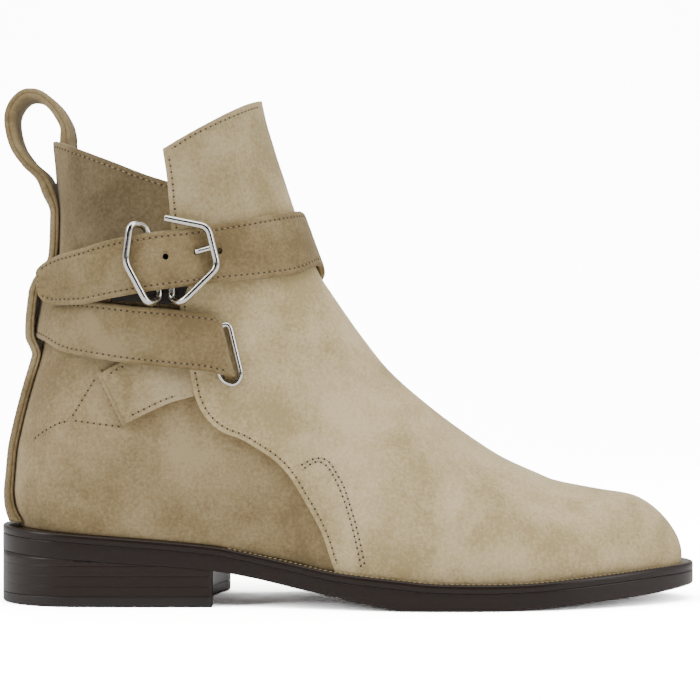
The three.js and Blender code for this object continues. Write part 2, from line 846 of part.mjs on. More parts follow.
// Anchor tab: out of a slit in the lateral quarter, forward under the strap to the vamp's edge
const tabRows = table(["along", "up"], [
  [-0.346, 0.357],
  [-0.3115, 0.241],
  [-0.2726, 0.272],
  [-0.253, 0.287],
  [-0.2245, 0.302],
  [-0.2275, 0.39],
  [-0.3, 0.4],
]);
const anchorTab = form(clearance + tabWall)
  .subtract(form(clearance, openBelow))
  .intersect(sideCutter(tabRows.map(sidePlace), true));

// How far off the skin the hardware's wires run: the vamp ring on the vamp, and the hidden bars of
// frame and keeper on the chape. Over the bars the strap passes, and over the strap the wire.
const ringOut = overlayOut + 2 * clearance + ringWire / 2;
const chapeUnder = overlayOut + clearance;
const barOut = chapeUnder + chapeWall + clearance + wire / 2;
const passing = wire + strapThickness + 2 * clearance;

// How far off the skin the strap's inner face lies over each piece that it crosses
const onSkin = 2 * clearance;
const onBack = onSkin + 0.3 * strapSlack;
const onTab = tabWall + 2 * clearance;
const onVamp = overlayOut + 2.5 * clearance;
const onRing = ringOut + ringWire / 2 + clearance;
const onBars = barOut + wire / 2 + 1.3 * clearance;
const onStrap = onSkin + strapThickness + 4.5 * clearance;
const onStay = stayThickness + loopRoom;

// Wrap strap: turn 0 is the back of the boot, and the strap runs from the vamp ring on the lateral
// side over the back, the medial side and the front to its tip near the back again. High and low
// are its edges as shares of the shaft's height above the seat, out its inner face off the skin.
// Lean is how much further round its lower edge is than its upper edge.
const strapRows = table(["turn", "high", "low", "out", "lean"], [
  [-0.282, 0.4745, 0.352, onRing, 0.0057],
  [-0.272, 0.489, 0.355, onRing, 0.004],
  [-0.252, 0.5, 0.362, mix(onTab, onRing, 0.93), 0],
  [-0.225, 0.506, 0.369, mix(onTab, onRing, 0.3), 0],
  [-0.2, 0.51, 0.375, onTab, 0],
  [-0.15, 0.519, 0.389, onTab, 0],
  [-0.11, 0.525, 0.401, mix(onSkin, onTab, 0.3), 0],
  [-0.06, 0.545, 0.429, mix(onSkin, onBack, 0.45), 0],
  [0, 0.558, 0.442, onBack, 0],
  [0.06, 0.571, 0.45, mix(onSkin, onBack, 0.6), 0],
  [0.15, 0.592, 0.466, onSkin, 0],
  [0.23, 0.613, 0.484, mix(onSkin, onVamp, 0.9), 0],
  [0.3, 0.634, 0.506, onVamp, 0],
  [0.4, 0.669, 0.544, onVamp, 0],
  [0.47, 0.708, 0.577, onVamp, 0],
  [0.5, 0.724, 0.601, onVamp, 0],
  [0.53, 0.729, 0.601, onVamp, 0],
  [0.6, 0.72, 0.58, onVamp, 0],
  [0.66, 0.706, 0.569, mix(onVamp, onBars, 0.1), 0],
  [0.7, 0.696, 0.564, mix(onVamp, onBars, 0.4), 0],
  [0.735, 0.689, 0.559, mix(onVamp, onBars, 0.85), 0],
  [0.76, 0.685, 0.553, onBars, 0],
  [0.79, 0.677, 0.545, onBars, 0],
  [0.83, 0.661, 0.528, mix(onStrap, onBars, 0.65), 0],
  [0.87, 0.6415, 0.512, mix(onStrap, onBars, 0.17), 0],
  [0.91, 0.628, 0.5095, onStrap, -0.002],
  [0.93, 0.614, 0.514, mix(onStrap, onStay, 0.3), -0.009],
  [0.943, 0.5955, 0.5165, mix(onStrap, onStay, 0.65), -0.013],
]);
function strapPoint(turn, across, depth) {
  const high = curveAt(strapRows, "turn", "high", turn);
  const low = curveAt(strapRows, "turn", "low", turn);
  const z = seatHeight + shaftHeight * mix(low, high, across);
  const leant = turn + curveAt(strapRows, "turn", "lean", turn) * (1 - across);
  const folded = leant > 0.5 ? leant - 1 : leant;
  return turnPoint(folded, z, curveAt(strapRows, "turn", "out", turn) + depth);
}
const strapSteps = 84;
const strapRings = [];
for (let at = 0; at <= strapSteps; at += 1) {
  const turn = mix(strapRows[0].turn, strapRows[strapRows.length - 1].turn, at / strapSteps);
  strapRings.push([
    strapPoint(turn, 0, 0),
    strapPoint(turn, 0.5, 0),
    strapPoint(turn, 1, 0),
    strapPoint(turn, 1, strapThickness),
    strapPoint(turn, 0.5, strapThickness),
    strapPoint(turn, 0, strapThickness),
  ]);
}
const wrapStrap = loft(strapRings);

// Bent wire: a path through corners, each rounded, swept by a circle
const wireSides = 8;
const bendSteps = 3;
const frameBend = 3.5;
const ringBend = 3;
const prongBend = 2;
function roundedPath(corners, radius, closed) {
  const points = [];
  const count = corners.length;
  corners.forEach((corner, at) => {
    if (!closed && (at === 0 || at === count - 1)) {
      points.push(corner.clone());
      return;
    }
    const before = corners[(at + count - 1) % count];
    const after = corners[(at + 1) % count];
    const reachIn = Math.min(radius, before.distanceTo(corner) * 0.45);
    const reachOut = Math.min(radius, after.distanceTo(corner) * 0.45);
    const from = corner.clone().lerp(before, reachIn / before.distanceTo(corner));
    const to = corner.clone().lerp(after, reachOut / after.distanceTo(corner));
    const arc = new THREE.QuadraticBezierCurve3(from, corner, to);
    points.push(...arc.getPoints(bendSteps));
  });
  return points;
}
function wireAlong(points, diameter, closed) {
  const count = points.length;
  const tangentAt = (at) => {
    const before = closed ? points[(at + count - 1) % count] : points[Math.max(0, at - 1)];
    const after = closed ? points[(at + 1) % count] : points[Math.min(count - 1, at + 1)];
    return after.clone().sub(before).normalize();
  };
  let across = new THREE.Vector3(0, 1, 0);
  const rings = points.map((point, at) => {
    const run = tangentAt(at);
    across = across.clone().addScaledVector(run, -across.dot(run)).normalize();
    const other = run.clone().cross(across);
    const ring = [];
    for (let side = 0; side < wireSides; side += 1) {
      const angle = (2 * Math.PI * side) / wireSides;
      const spoke = across.clone().multiplyScalar(Math.cos(angle));
      spoke.addScaledVector(other, Math.sin(angle)).multiplyScalar(diameter / 2);
      ring.push(point.clone().add(spoke));
    }
    return ring;
  });
  return loft(rings, closed);
}
// A wire through places in side view, each its own distance off the skin: the lowest place plus a
// share of the rise
function wirePath(rows, lowest, rise) {
  return rows.map((row) => {
    const { x, z } = sidePlace(row);
    return skinPoint(x, z, lateral, lowest + row.rise * rise);
  });
}

const frameRows = table(["along", "up", "rise"], [
  [-0.2533, 0.714, 0.68],
  [-0.2015, 0.6915, 0.84],
  [-0.1868, 0.598, 0.8],
  [-0.2303, 0.5205, 1],
  [-0.2463, 0.524, 0],
  [-0.2465, 0.6, 0],
  [-0.2463, 0.675, 0],
]);
const framePath = roundedPath(wirePath(frameRows, barOut, passing), frameBend, false);
const buckleFrame = wireAlong(framePath, wire, false);

const prongRows = table(["along", "up", "rise"], [
  [-0.1995, 0.642, 0.78],
  [-0.2057, 0.6391, 0.83],
  [-0.2134, 0.6357, 0.78],
]);
const prongPath = roundedPath(wirePath(prongRows, barOut, passing), prongBend, false);
const buckleProng = wireAlong(prongPath, prongWire, false);

const keeperRows = table(["along", "up", "rise"], [
  [-0.2974, 0.702, 0.95],
  [-0.3038, 0.6137, 1.05],
  [-0.2779, 0.5175, 1.03],
  [-0.263, 0.527, 0],
  [-0.2665, 0.6, 0],
  [-0.282, 0.698, 0],
]);
const keeperPath = roundedPath(wirePath(keeperRows, barOut, passing), ringBend, true);
const keeperRing = wireAlong(keeperPath, wire, true);

const vampRingRows = table(["along", "up", "rise"], [
  [-0.1685, 0.473, 0],
  [-0.1507, 0.351, 0],
  [-0.1593, 0.3285, 0],
  [-0.177, 0.3405, 0],
  [-0.1865, 0.4, 0],
  [-0.1865, 0.46, 0],
]);
const vampRingPath = roundedPath(wirePath(vampRingRows, ringOut, clearance), ringBend, true);
const vampRing = wireAlong(vampRingPath, ringWire, true);

// Buckle chape: the short dark strap under the tail that carries frame and keeper
const chapeRows = table(["along", "up"], [
  [-0.318, 0.522],
  [-0.2352, 0.513],
  [-0.2205, 0.559],
  [-0.214, 0.655],
  [-0.318, 0.66],
]);
const buckleChape = form(chapeUnder + chapeWall)
  .subtract(form(chapeUnder, openBelow))
  .intersect(sideCutter(chapeRows.map(sidePlace), true));

// A named mesh from a solid, with its real colour and finish
function piece(name, solid, colour, roughness, metalness) {
  const data = solid.getMesh();
  const geometry = new THREE.BufferGeometry();
  geometry.setAttribute("position", new THREE.BufferAttribute(data.vertProperties, 3));
  geometry.setIndex(new THREE.BufferAttribute(data.triVerts, 1));
  geometry.computeVertexNormals();
  const material = new THREE.MeshStandardMaterial({ color: colour, roughness, metalness });
  const mesh = new THREE.Mesh(geometry, material);
  mesh.name = name;
  return mesh;
}

const group = new THREE.Group();
group.add(
  piece("outsole", outsole, 0x3a302b, 0.45, 0),
  piece("welt", welt, 0x40352f, 0.5, 0),
  piece("heel_stack", heelStack, 0x3a302b, 0.45, 0),
  piece("top_lift", topLift, 0x2c2624, 0.6, 0),
  piece("insole", insole, 0xa58e6c, 0.7, 0),
  piece("quarters", quarters, 0x9c8b6c, 0.95, 0),
  piece("vamp", vamp, 0xb8aa90, 0.95, 0),
  piece("back_stay", backStay, 0xa08f72, 0.95, 0),
  piece("anchor_tab", anchorTab, 0x9c8b6c, 0.95, 0),
  piece("wrap_strap", wrapStrap, 0xa08f70, 0.95, 0),
  piece("buckle_chape", buckleChape, 0x35261c, 0.7, 0),
  piece("buckle_frame", buckleFrame, 0xd4d2cc, 0.18, 1),
  piece("buckle_prong", buckleProng, 0xd4d2cc, 0.18, 1),
  piece("keeper_ring", keeperRing, 0xd4d2cc, 0.18, 1),
  piece("vamp_ring", vampRing, 0xd4d2cc, 0.18, 1),
);

export default group;
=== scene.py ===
# A right jodhpur boot: taupe suede on a dark leather sole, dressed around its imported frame.
# Lengths are in millimetres and turn to metres where a mesh is made. +X points to the toe, -Y to
# the lateral side, +Z up, and the floor is Z = 0.
import math
import random

import bmesh
import bpy
import numpy as np
from mathutils import Matrix, Vector


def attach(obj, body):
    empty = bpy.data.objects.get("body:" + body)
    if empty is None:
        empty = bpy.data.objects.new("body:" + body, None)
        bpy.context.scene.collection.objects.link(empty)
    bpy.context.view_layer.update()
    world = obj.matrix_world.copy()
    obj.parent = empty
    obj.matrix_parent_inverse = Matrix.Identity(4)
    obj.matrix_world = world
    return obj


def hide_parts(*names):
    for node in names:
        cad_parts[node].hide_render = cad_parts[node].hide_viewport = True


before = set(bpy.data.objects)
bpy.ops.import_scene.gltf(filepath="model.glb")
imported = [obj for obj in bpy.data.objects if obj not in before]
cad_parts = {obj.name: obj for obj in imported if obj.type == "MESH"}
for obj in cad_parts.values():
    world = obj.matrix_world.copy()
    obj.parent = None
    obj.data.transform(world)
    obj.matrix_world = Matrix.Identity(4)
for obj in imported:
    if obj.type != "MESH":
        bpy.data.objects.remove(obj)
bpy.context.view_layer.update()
random.seed(7)

METRE = 0.001
LATERAL = -1
MEDIAL = 1


# Sole and heel sizes
SOLE_LENGTH = 270
BALL_WIDTH = 93
WAIST_WIDTH = 61
HEEL_WIDTH = 62
SEAT_HEIGHT = 29.8
BALL_EDGE = 9.9
TOE_SPRING = 6.3
TIP_EDGE = 8.4
WELT_THICKNESS = 3.2
LIFT_THICKNESS = 4
HEEL_LENGTH = 83.8
BREAST_HOLLOW = 4.5
BREAST_SKEW = 3.4
TOE_TURN = 4
ARCH_HEIGHT = 13.6


# Upper sizes
SHAFT_HEIGHT = 164
INSTEP_HEIGHT = 74
TOE_HEIGHT = 34
COUNTER_WIDTH = 60
ANKLE_WIDTH = 59
COLLAR_WIDTH = 68
UPPER_WALL = 1.8
SUEDE_WALL = 1.0
VAMP_WALL = 1.8
WELT_LEDGE = 4.3
HEEL_LEDGE = 3.5
INSOLE_THICKNESS = 3


# Strap and hardware sizes
STRAP_THICKNESS = 2.6
STRAP_SLACK = 3.9
STAY_THICKNESS = 2.7
STAY_WIDTH = 22
STAY_FOOT_WIDTH = 30
PULL_THICKNESS = 3.9
TAB_WALL = 2
CHAPE_WALL = 1.2
WIRE = 2.8
PRONG_WIRE = 2.2
RING_WIRE = 2.4
CLEARANCE = 0.3

HALF_LENGTH = SOLE_LENGTH / 2
OVERLAY_OUT = CLEARANCE + VAMP_WALL
GLUE_LINE = 0.05
# How far cut edges are rounded: the vamp's and the tab's, and those of thin sheets
EDGE_ROUND = 0.45
THIN_EDGE_ROUND = 0.3


# Curves through tables


def table(columns, rows):
    """The columns of a table by name."""
    return dict(zip(columns.split(), np.array(rows, float).T))


def curve(places, values, soft=False):
    """A smooth function through values at rising places. Unless soft, it never overshoots them."""
    places = np.asarray(places, float)
    values = np.asarray(values, float)
    steps = np.diff(places)
    slopes = np.diff(values) / steps
    if soft:
        tangents = np.gradient(values, places)
    else:
        before, after = slopes[:-1], slopes[1:]
        flat = before * after <= 0
        middle_slopes = 2 * before * after / np.where(flat, 1, before + after)
        tangents = np.concatenate([slopes[:1], np.where(flat, 0, middle_slopes), slopes[-1:]])

    def at(place):
        place = np.clip(place, places[0], places[-1])
        low = np.clip(np.searchsorted(places, place, side="right") - 1, 0, len(steps) - 1)
        t = (place - places[low]) / steps[low]
        rise = t * t * (3 - 2 * t)
        lead = t * (1 - t) ** 2 * steps[low] * tangents[low]
        trail = t * t * (t - 1) * steps[low] * tangents[low + 1]
        return values[low] * (1 - rise) + values[low + 1] * rise + lead + trail

    return at


def mix(start, end, share):
    return start + (end - start) * share


def smooth(share):
    share = np.clip(share, 0, 1)
    return share * share * (3 - 2 * share)


def round_end(share):
    return np.sqrt(1 - np.clip(share, 0, 1) ** 2)


# The last: outlines and sections of sole and upper, as in the part's source

BED = table("along heel toe", [
    (-0.5, 1, 0), (-0.396, 0.895, 0), (-0.193, 0.663, 0), (-0.148, 0.553, 0),
    (-0.083, 0.377, 0), (-0.021, 0.211, 0), (0.061, 0.09, 0), (0.122, 0.015, 0),
    (0.185, 0, 0), (0.245, 0, 0.05), (0.306, 0, 0.29), (0.37, 0, 0.56),
    (0.436, 0, 0.83), (0.5, 0, 1),
])
bed_heel = curve(BED["along"], BED["heel"])
bed_toe = curve(BED["along"], BED["toe"])


def bed(x):
    """Top of the sole's edge, which the upper stands on."""
    drop = (SEAT_HEIGHT - BALL_EDGE) * bed_heel(x / SOLE_LENGTH)
    rise = (TOE_SPRING + TIP_EDGE - BALL_EDGE) * bed_toe(x / SOLE_LENGTH)
    return BALL_EDGE + drop + rise


UNDER = table("along arch spring", [
    (-0.5, 1.48, 0), (-0.396, 1.32, 0), (-0.2, 1.03, 0), (-0.14, 0.85, 0),
    (-0.07, 0.56, 0), (0, 0.28, 0), (0.045, 0.1, 0), (0.08, 0, 0),
    (0.2, 0, 0), (0.26, 0, 0.12), (0.33, 0, 0.36), (0.41, 0, 0.61), (0.5, 0, 1),
])
under_arch = curve(UNDER["along"], UNDER["arch"])
under_spring = curve(UNDER["along"], UNDER["spring"])


def under(x):
    """Underside of the outsole."""
    along = x / SOLE_LENGTH
    return ARCH_HEIGHT * under_arch(along) + TOE_SPRING * under_spring(along)


PLAN = table("along lateral medial of", [
    (-0.5, 1, 1, HEEL_WIDTH), (-0.41, 1, 1, HEEL_WIDTH), (-0.3, 1.03, 1.01, HEEL_WIDTH),
    (-0.185, 1.04, 0.96, WAIST_WIDTH), (-0.1, 1.16, 0.93, WAIST_WIDTH),
    (-0.04, 0.855, 0.68, BALL_WIDTH), (0.04, 0.96, 0.82, BALL_WIDTH),
    (0.13, 1, 0.95, BALL_WIDTH), (0.19, 0.99, 1, BALL_WIDTH),
    (0.26, 0.945, 0.995, BALL_WIDTH), (0.35, 0.87, 0.94, BALL_WIDTH),
    (0.42, 0.815, 0.88, BALL_WIDTH), (0.5, 0.77, 0.81, BALL_WIDTH),
])
plan_lateral = curve(PLAN["along"], PLAN["lateral"] * PLAN["of"] / 2)
plan_medial = curve(PLAN["along"], PLAN["medial"] * PLAN["of"] / 2)
TOE_ROUND_FROM = 0.26 * SOLE_LENGTH
HEEL_ROUND_FROM = -HALF_LENGTH + HEEL_WIDTH / 2


def middle(x):
    """Middle line of the plan, which turns a little to the medial side at the toe."""
    return TOE_TURN * smooth((x - 0.2 * SOLE_LENGTH) / (0.3 * SOLE_LENGTH))


def outline(x, side, ledge, back_end, toe_end):
    """Half width of the plan between two ends, with a ledge taken off."""
    along = x / SOLE_LENGTH
    full = np.where(side < 0, plan_lateral(along), plan_medial(along)) - ledge
    toe = round_end((x - TOE_ROUND_FROM) / (toe_end - TOE_ROUND_FROM))
    back = round_end((HEEL_ROUND_FROM - x) / (HEEL_ROUND_FROM - back_end))
    return full * toe * back


def height_foot(up, x, low_up=0.3):
    """What a share of the shaft's height counts from: the bed low down, the seat higher up."""
    return mix(bed(x), SEAT_HEIGHT, smooth(up / low_up))


def side_place(along, up):
    """A place in side view from shares of the sole's length and the shaft's height."""
    x = np.asarray(along, float) * SOLE_LENGTH
    up = np.asarray(up, float)
    return np.stack([x, height_foot(up, x) + up * SHAFT_HEIGHT], axis=-1)


FRONT_SHAFT = table("along up", [
    (-0.1305, 1.075), (-0.1245, 0.992), (-0.1081, 0.891), (-0.0922, 0.811),
    (-0.0759, 0.731), (-0.043, 0.5915), (-0.0248, 0.545), (-0.0059, 0.4994),
    (0.0144, 0.4524),
])
FRONT_INSTEP = table("along up", [
    (0.057, 1.05), (0.1126, 0.889), (0.1641, 0.752), (0.2233, 0.611), (0.2715, 0.524),
])
FRONT_TOE = table("along up", [
    (0.2974, 1.038), (0.3341, 0.953), (0.3711, 0.878), (0.4007, 0.824), (0.4304, 0.738),
    (0.46, 0.64), (0.49, 0.53),
])
front_x = SOLE_LENGTH * np.concatenate(
    [FRONT_SHAFT["along"], FRONT_INSTEP["along"], FRONT_TOE["along"]]
)
front_z = np.concatenate([
    SEAT_HEIGHT + FRONT_SHAFT["up"] * SHAFT_HEIGHT,
    bed(SOLE_LENGTH * FRONT_INSTEP["along"]) + FRONT_INSTEP["up"] * INSTEP_HEIGHT,
    bed(SOLE_LENGTH * FRONT_TOE["along"]) + FRONT_TOE["up"] * TOE_HEIGHT,
])
run_x = np.concatenate([[front_x[1] - front_x[0]], front_x[2:] - front_x[:-2],
                        [front_x[-1] - front_x[-2]]])
run_z = np.concatenate([[front_z[1] - front_z[0]], front_z[2:] - front_z[:-2],
                        [front_z[-1] - front_z[-2]]])
run = np.hypot(run_x, run_z)
form_x = front_x + OVERLAY_OUT * run_z / run
form_z = front_z - OVERLAY_OUT * run_x / run
front_line = curve(form_x, form_z)
front_places = np.linspace(form_x[0], form_x[-1], 6000)
front_heights = front_line(front_places)

TOE_ROUND_START = 0.41 * SOLE_LENGTH
UPPER_TOE = HALF_LENGTH - WELT_LEDGE - OVERLAY_OUT
TOE_TIP_HEIGHT = 2.5


def ridge(x):
    """Height of the form's ridge over a place along the foot."""
    plain = front_line(x)
    tip = bed(UPPER_TOE) + TOE_TIP_HEIGHT
    share = (x - TOE_ROUND_START) / (UPPER_TOE - TOE_ROUND_START)
    return np.where(share <= 0, plain, tip + (plain - tip) * round_end(share))


def front_at(z):
    """Place of the form's front at a height."""
    return np.interp(-z, -front_heights, front_places)


BACK = table("up in", [
    (-0.03, 0.0125), (0.005, 0.0085), (0.04, 0.0015), (0.075, 0), (0.12, 0.0022),
    (0.173, 0.0052), (0.23, 0.0122), (0.275, 0.0189), (0.323, 0.0267), (0.376, 0.0363),
    (0.43, 0.0455), (0.49, 0.053), (0.55, 0.0595), (0.624, 0.064), (0.731, 0.0662),
    (0.836, 0.0625), (0.906, 0.0588), (1.08, 0.057),
])
back_in = curve(BACK["up"], BACK["in"])
BACK_MOST = -HALF_LENGTH + HEEL_LEDGE


def shaft_up(z):
    return (z - SEAT_HEIGHT) / SHAFT_HEIGHT


def back_at(z):
    """Place of the form's back at a height."""
    return BACK_MOST + SOLE_LENGTH * back_in(shaft_up(z))


LEVEL = table("up half back front of", [
    (-0.1, 0.46, 0.56, 1.5, COUNTER_WIDTH), (0, 0.475, 0.56, 1.5, COUNTER_WIDTH),
    (0.1, 0.5, 0.55, 1.45, COUNTER_WIDTH), (0.22, 0.492, 0.55, 1.3, COUNTER_WIDTH),
    (0.4, 0.5, 0.58, 0.98, ANKLE_WIDTH), (0.55, 0.51, 0.62, 0.8, ANKLE_WIDTH),
    (0.75, 0.472, 0.56, 0.66, COLLAR_WIDTH), (0.9, 0.5, 0.57, 0.62, COLLAR_WIDTH),
    (1.05, 0.505, 0.57, 0.6, COLLAR_WIDTH),
])
level_width = curve(LEVEL["up"], LEVEL["half"] * LEVEL["of"])
level_back = curve(LEVEL["up"], LEVEL["back"] * LEVEL["of"])
level_front = curve(LEVEL["up"], LEVEL["front"] * LEVEL["of"])


def level_half(x, z):
    """Half width of the heel's and shaft's level sections."""
    up = shaft_up(z)
    from_back = (x - back_at(z)) / level_back(up)
    from_front = (front_at(z) - x) / level_front(up)
    return level_width(up) * round_end(1 - from_back) * round_end(1 - from_front)


FOOT = table("along ledge full", [
    (-0.2, 0.12, 0.62), (-0.08, 0.35, 0.64), (0.04, 0.77, 0.66), (0.15, 0.95, 0.64),
    (0.3, 1, 0.52), (0.5, 1.05, 0.5),
])
foot_ledge = curve(FOOT["along"], FOOT["ledge"])
foot_full = curve(FOOT["along"], FOOT["full"])
ARCH_POWER = 2.2
SIDE_SWELL = 1.7
SWELL_END = 0.074 * SOLE_LENGTH
SWELL_PEAK = 4 / 27


def foot_half(x, z, side):
    """Half width of the foot's upright sections."""
    along = x / SOLE_LENGTH
    share = np.clip((z - bed(x)) / np.maximum(0.01, ridge(x) - bed(x)), 0, 1)
    ledge = OVERLAY_OUT + WELT_LEDGE * foot_ledge(along)
    base = outline(x, side, ledge, BACK_MOST, UPPER_TOE)
    arch = (1 - share**ARCH_POWER) ** foot_full(along)
    swell = SIDE_SWELL / SWELL_PEAK * share * (1 - share) ** 2
    return base * arch + swell * smooth((UPPER_TOE - x) / SWELL_END)


BLEND_FROM = -0.074 * SOLE_LENGTH
BLEND_SLOPE = 0.6
BLEND_HALF = 0.11 * SOLE_LENGTH


def half_width(x, z, side):
    """Half width of the whole form at a place in side view."""
    centre = BLEND_FROM + BLEND_SLOPE * (z - BALL_EDGE)
    foot = smooth((x - centre + BLEND_HALF) / (2 * BLEND_HALF))
    return mix(level_half(x, z), foot_half(x, z, side), foot)


def unit(vectors):
    return vectors / np.maximum(1e-9, np.linalg.norm(vectors, axis=-1, keepdims=True))


def skin(places, side, out=0):
    """Points on the form's skin at places in side view, moved out by a distance."""
    x, z = places[..., 0], places[..., 1]
    side = np.broadcast_to(side, x.shape)
    probe = 0.05
    here = half_width(x, z, side)
    slope_x = (half_width(x + probe, z, side) - half_width(x - probe, z, side)) / (2 * probe)
    slope_z = (half_width(x, z + probe, side) - half_width(x, z - probe, side)) / (2 * probe)
    normal = unit(np.stack([-slope_x, side * np.ones_like(x), -slope_z], axis=-1))
    points = np.stack([x, middle(x) + side * here, z], axis=-1)
    return points + normal * out


def turn_point(turn, z, out):
    """A point by its turn round the shaft: 0 at the back, 0.5 at the front, lateral below 0."""

    def place(turn_at, height):
        share = (1 - np.cos(2 * math.pi * turn_at)) / 2
        x = mix(back_at(height), front_at(height), share)
        around = np.sin(2 * math.pi * turn_at)
        side = np.where(around < 0, LATERAL, MEDIAL)
        return np.stack([x, np.sign(around) * half_width(x, height, side), height], axis=-1)

    probe = 0.002
    around = place(turn + probe, z) - place(turn - probe, z)
    upward = place(turn, z + 1) - place(turn, z - 1)
    out = np.asarray(out, float)[..., None]
    return place(turn, z) + unit(np.cross(upward, around)) * out


# Lines in side view


def line_length(points):
    return np.concatenate([[0], np.cumsum(np.linalg.norm(np.diff(points, axis=0), axis=1))])


def at_lengths(line, at, values=None):
    """A line's points, or other values given for them, at distances along the line."""
    length = line_length(line)
    columns = (line if values is None else values).T
    return np.stack([np.interp(at, length, column) for column in columns], axis=1)


def part_of(line, start, end, count=120):
    """Evenly spaced points of the part of a line between two shares of its length."""
    return at_lengths(line, np.linspace(start, end, count) * line_length(line)[-1])


def spaced(line, count):
    return part_of(line, 0, 1, count)


def soft_line(places, count=200):
    """A soft line through places."""
    length = line_length(places)
    at = np.linspace(0, length[-1], 4 * count)
    dense = np.stack([curve(length, column, soft=True)(at) for column in places.T], axis=1)
    return spaced(dense, count)


def moved_aside(line, distance):
    """A line in side view moved to its left, as seen along it with +Z up."""
    direction = unit(np.gradient(line, axis=0))
    return line + distance * np.stack([-direction[:, 1], direction[:, 0]], axis=1)


# Mesh making


def grid_mesh(points, closed=True):
    """A bmesh grid whose corners take an array of places, with what falls together merged."""
    rows, columns = points.shape[:2]
    bm = bmesh.new()
    bmesh.ops.create_grid(bm, x_segments=columns - 1, y_segments=rows - 1, size=1)
    for corner, place in zip(bm.verts, points.reshape(-1, 3) * METRE):
        corner.co = place
    if closed:
        bmesh.ops.remove_doubles(bm, verts=bm.verts, dist=2e-6)
        bmesh.ops.recalc_face_normals(bm, faces=bm.faces)
    return bm


def soften(bm, width, angle=55, segments=2):
    """Rounds every edge that turns by more than an angle."""
    sharp = [
        edge for edge in bm.edges
        if len(edge.link_faces) == 2 and edge.calc_face_angle(0) > math.radians(angle)
    ]
    bmesh.ops.bevel(
        bm, geom=sharp, offset=width * METRE, offset_type="OFFSET", segments=segments,
        profile=0.5, affect="EDGES", material=-1, clamp_overlap=True,
    )


def piece(name, bm, material, slot, *nodes):
    """A finished piece on the boot, with what it stands for."""
    mesh = bpy.data.meshes.new(name)
    bm.to_mesh(mesh)
    bm.free()
    mesh.shade_smooth()
    mesh.materials.append(material)
    made = bpy.data.objects.new(name, mesh)
    bpy.context.scene.collection.objects.link(made)
    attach(made, "root")
    if nodes:
        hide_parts(*nodes)
    return made


def shell(outer, inner, rounding=0.0):
    """A closed sheet between two grids of points, with its edges rounded."""
    ring = np.concatenate([outer, inner[:, ::-1], outer[:, :1]], axis=1)
    first = np.concatenate([inner[:1], inner[:1, ::-1], inner[:1, :1]], axis=1)
    last = np.concatenate([inner[-1:], inner[-1:, ::-1], inner[-1:, :1]], axis=1)
    bm = grid_mesh(np.concatenate([first, ring, last]))
    if rounding:
        soften(bm, rounding)
    return bm


def wall(grid, outer, inner, rounding=0.0):
    """A closed wall between two distances from a grid of points, along the grid's normals."""
    normal = unit(np.cross(np.gradient(grid, axis=0), np.gradient(grid, axis=1)))
    return shell(grid + normal * outer, grid + normal * inner, rounding)


# Materials


def linear(code):
    """An sRGB hex colour as linear RGBA."""
    shares = [int(code[at:at + 2], 16) / 255 for at in (1, 3, 5)]
    return [s / 12.92 if s <= 0.04045 else ((s + 0.055) / 1.055) ** 2.4 for s in shares] + [1]


def node(tree, kind, settings=None, **inputs):
    """Adds a shader node with its settings, and links or sets its inputs by name or number."""
    made = tree.nodes.new(kind)
    for name, value in (settings or {}).items():
        setattr(made, name, value)
    for name, value in inputs.items():
        socket = made.inputs[int(name[1:])] if name[0] == "i" and name[1:].isdigit() else (
            made.inputs[name.replace("_", " ")])
        if isinstance(value, bpy.types.NodeSocket):
            tree.links.new(value, socket)
        else:
            socket.default_value = value
    return made


def ramp(tree, fac, stops):
    """A colour ramp over a factor, from (place, hex) stops."""
    made = node(tree, "ShaderNodeValToRGB", Fac=fac)
    elements = made.color_ramp.elements
    while len(elements) < len(stops):
        elements.new(0.5)
    for element, (place, code) in zip(elements, stops):
        element.position = place
        element.color = linear(code)
    return made.outputs["Color"]


def material(name):
    made = bpy.data.materials.new(name)
    made.use_nodes = True
    tree = made.node_tree
    shader = tree.nodes["Principled BSDF"]
    return made, tree, shader


def per_metre(size):
    """A texture's scale for a pattern of a size in millimetres."""
    return 1 / (size * METRE)


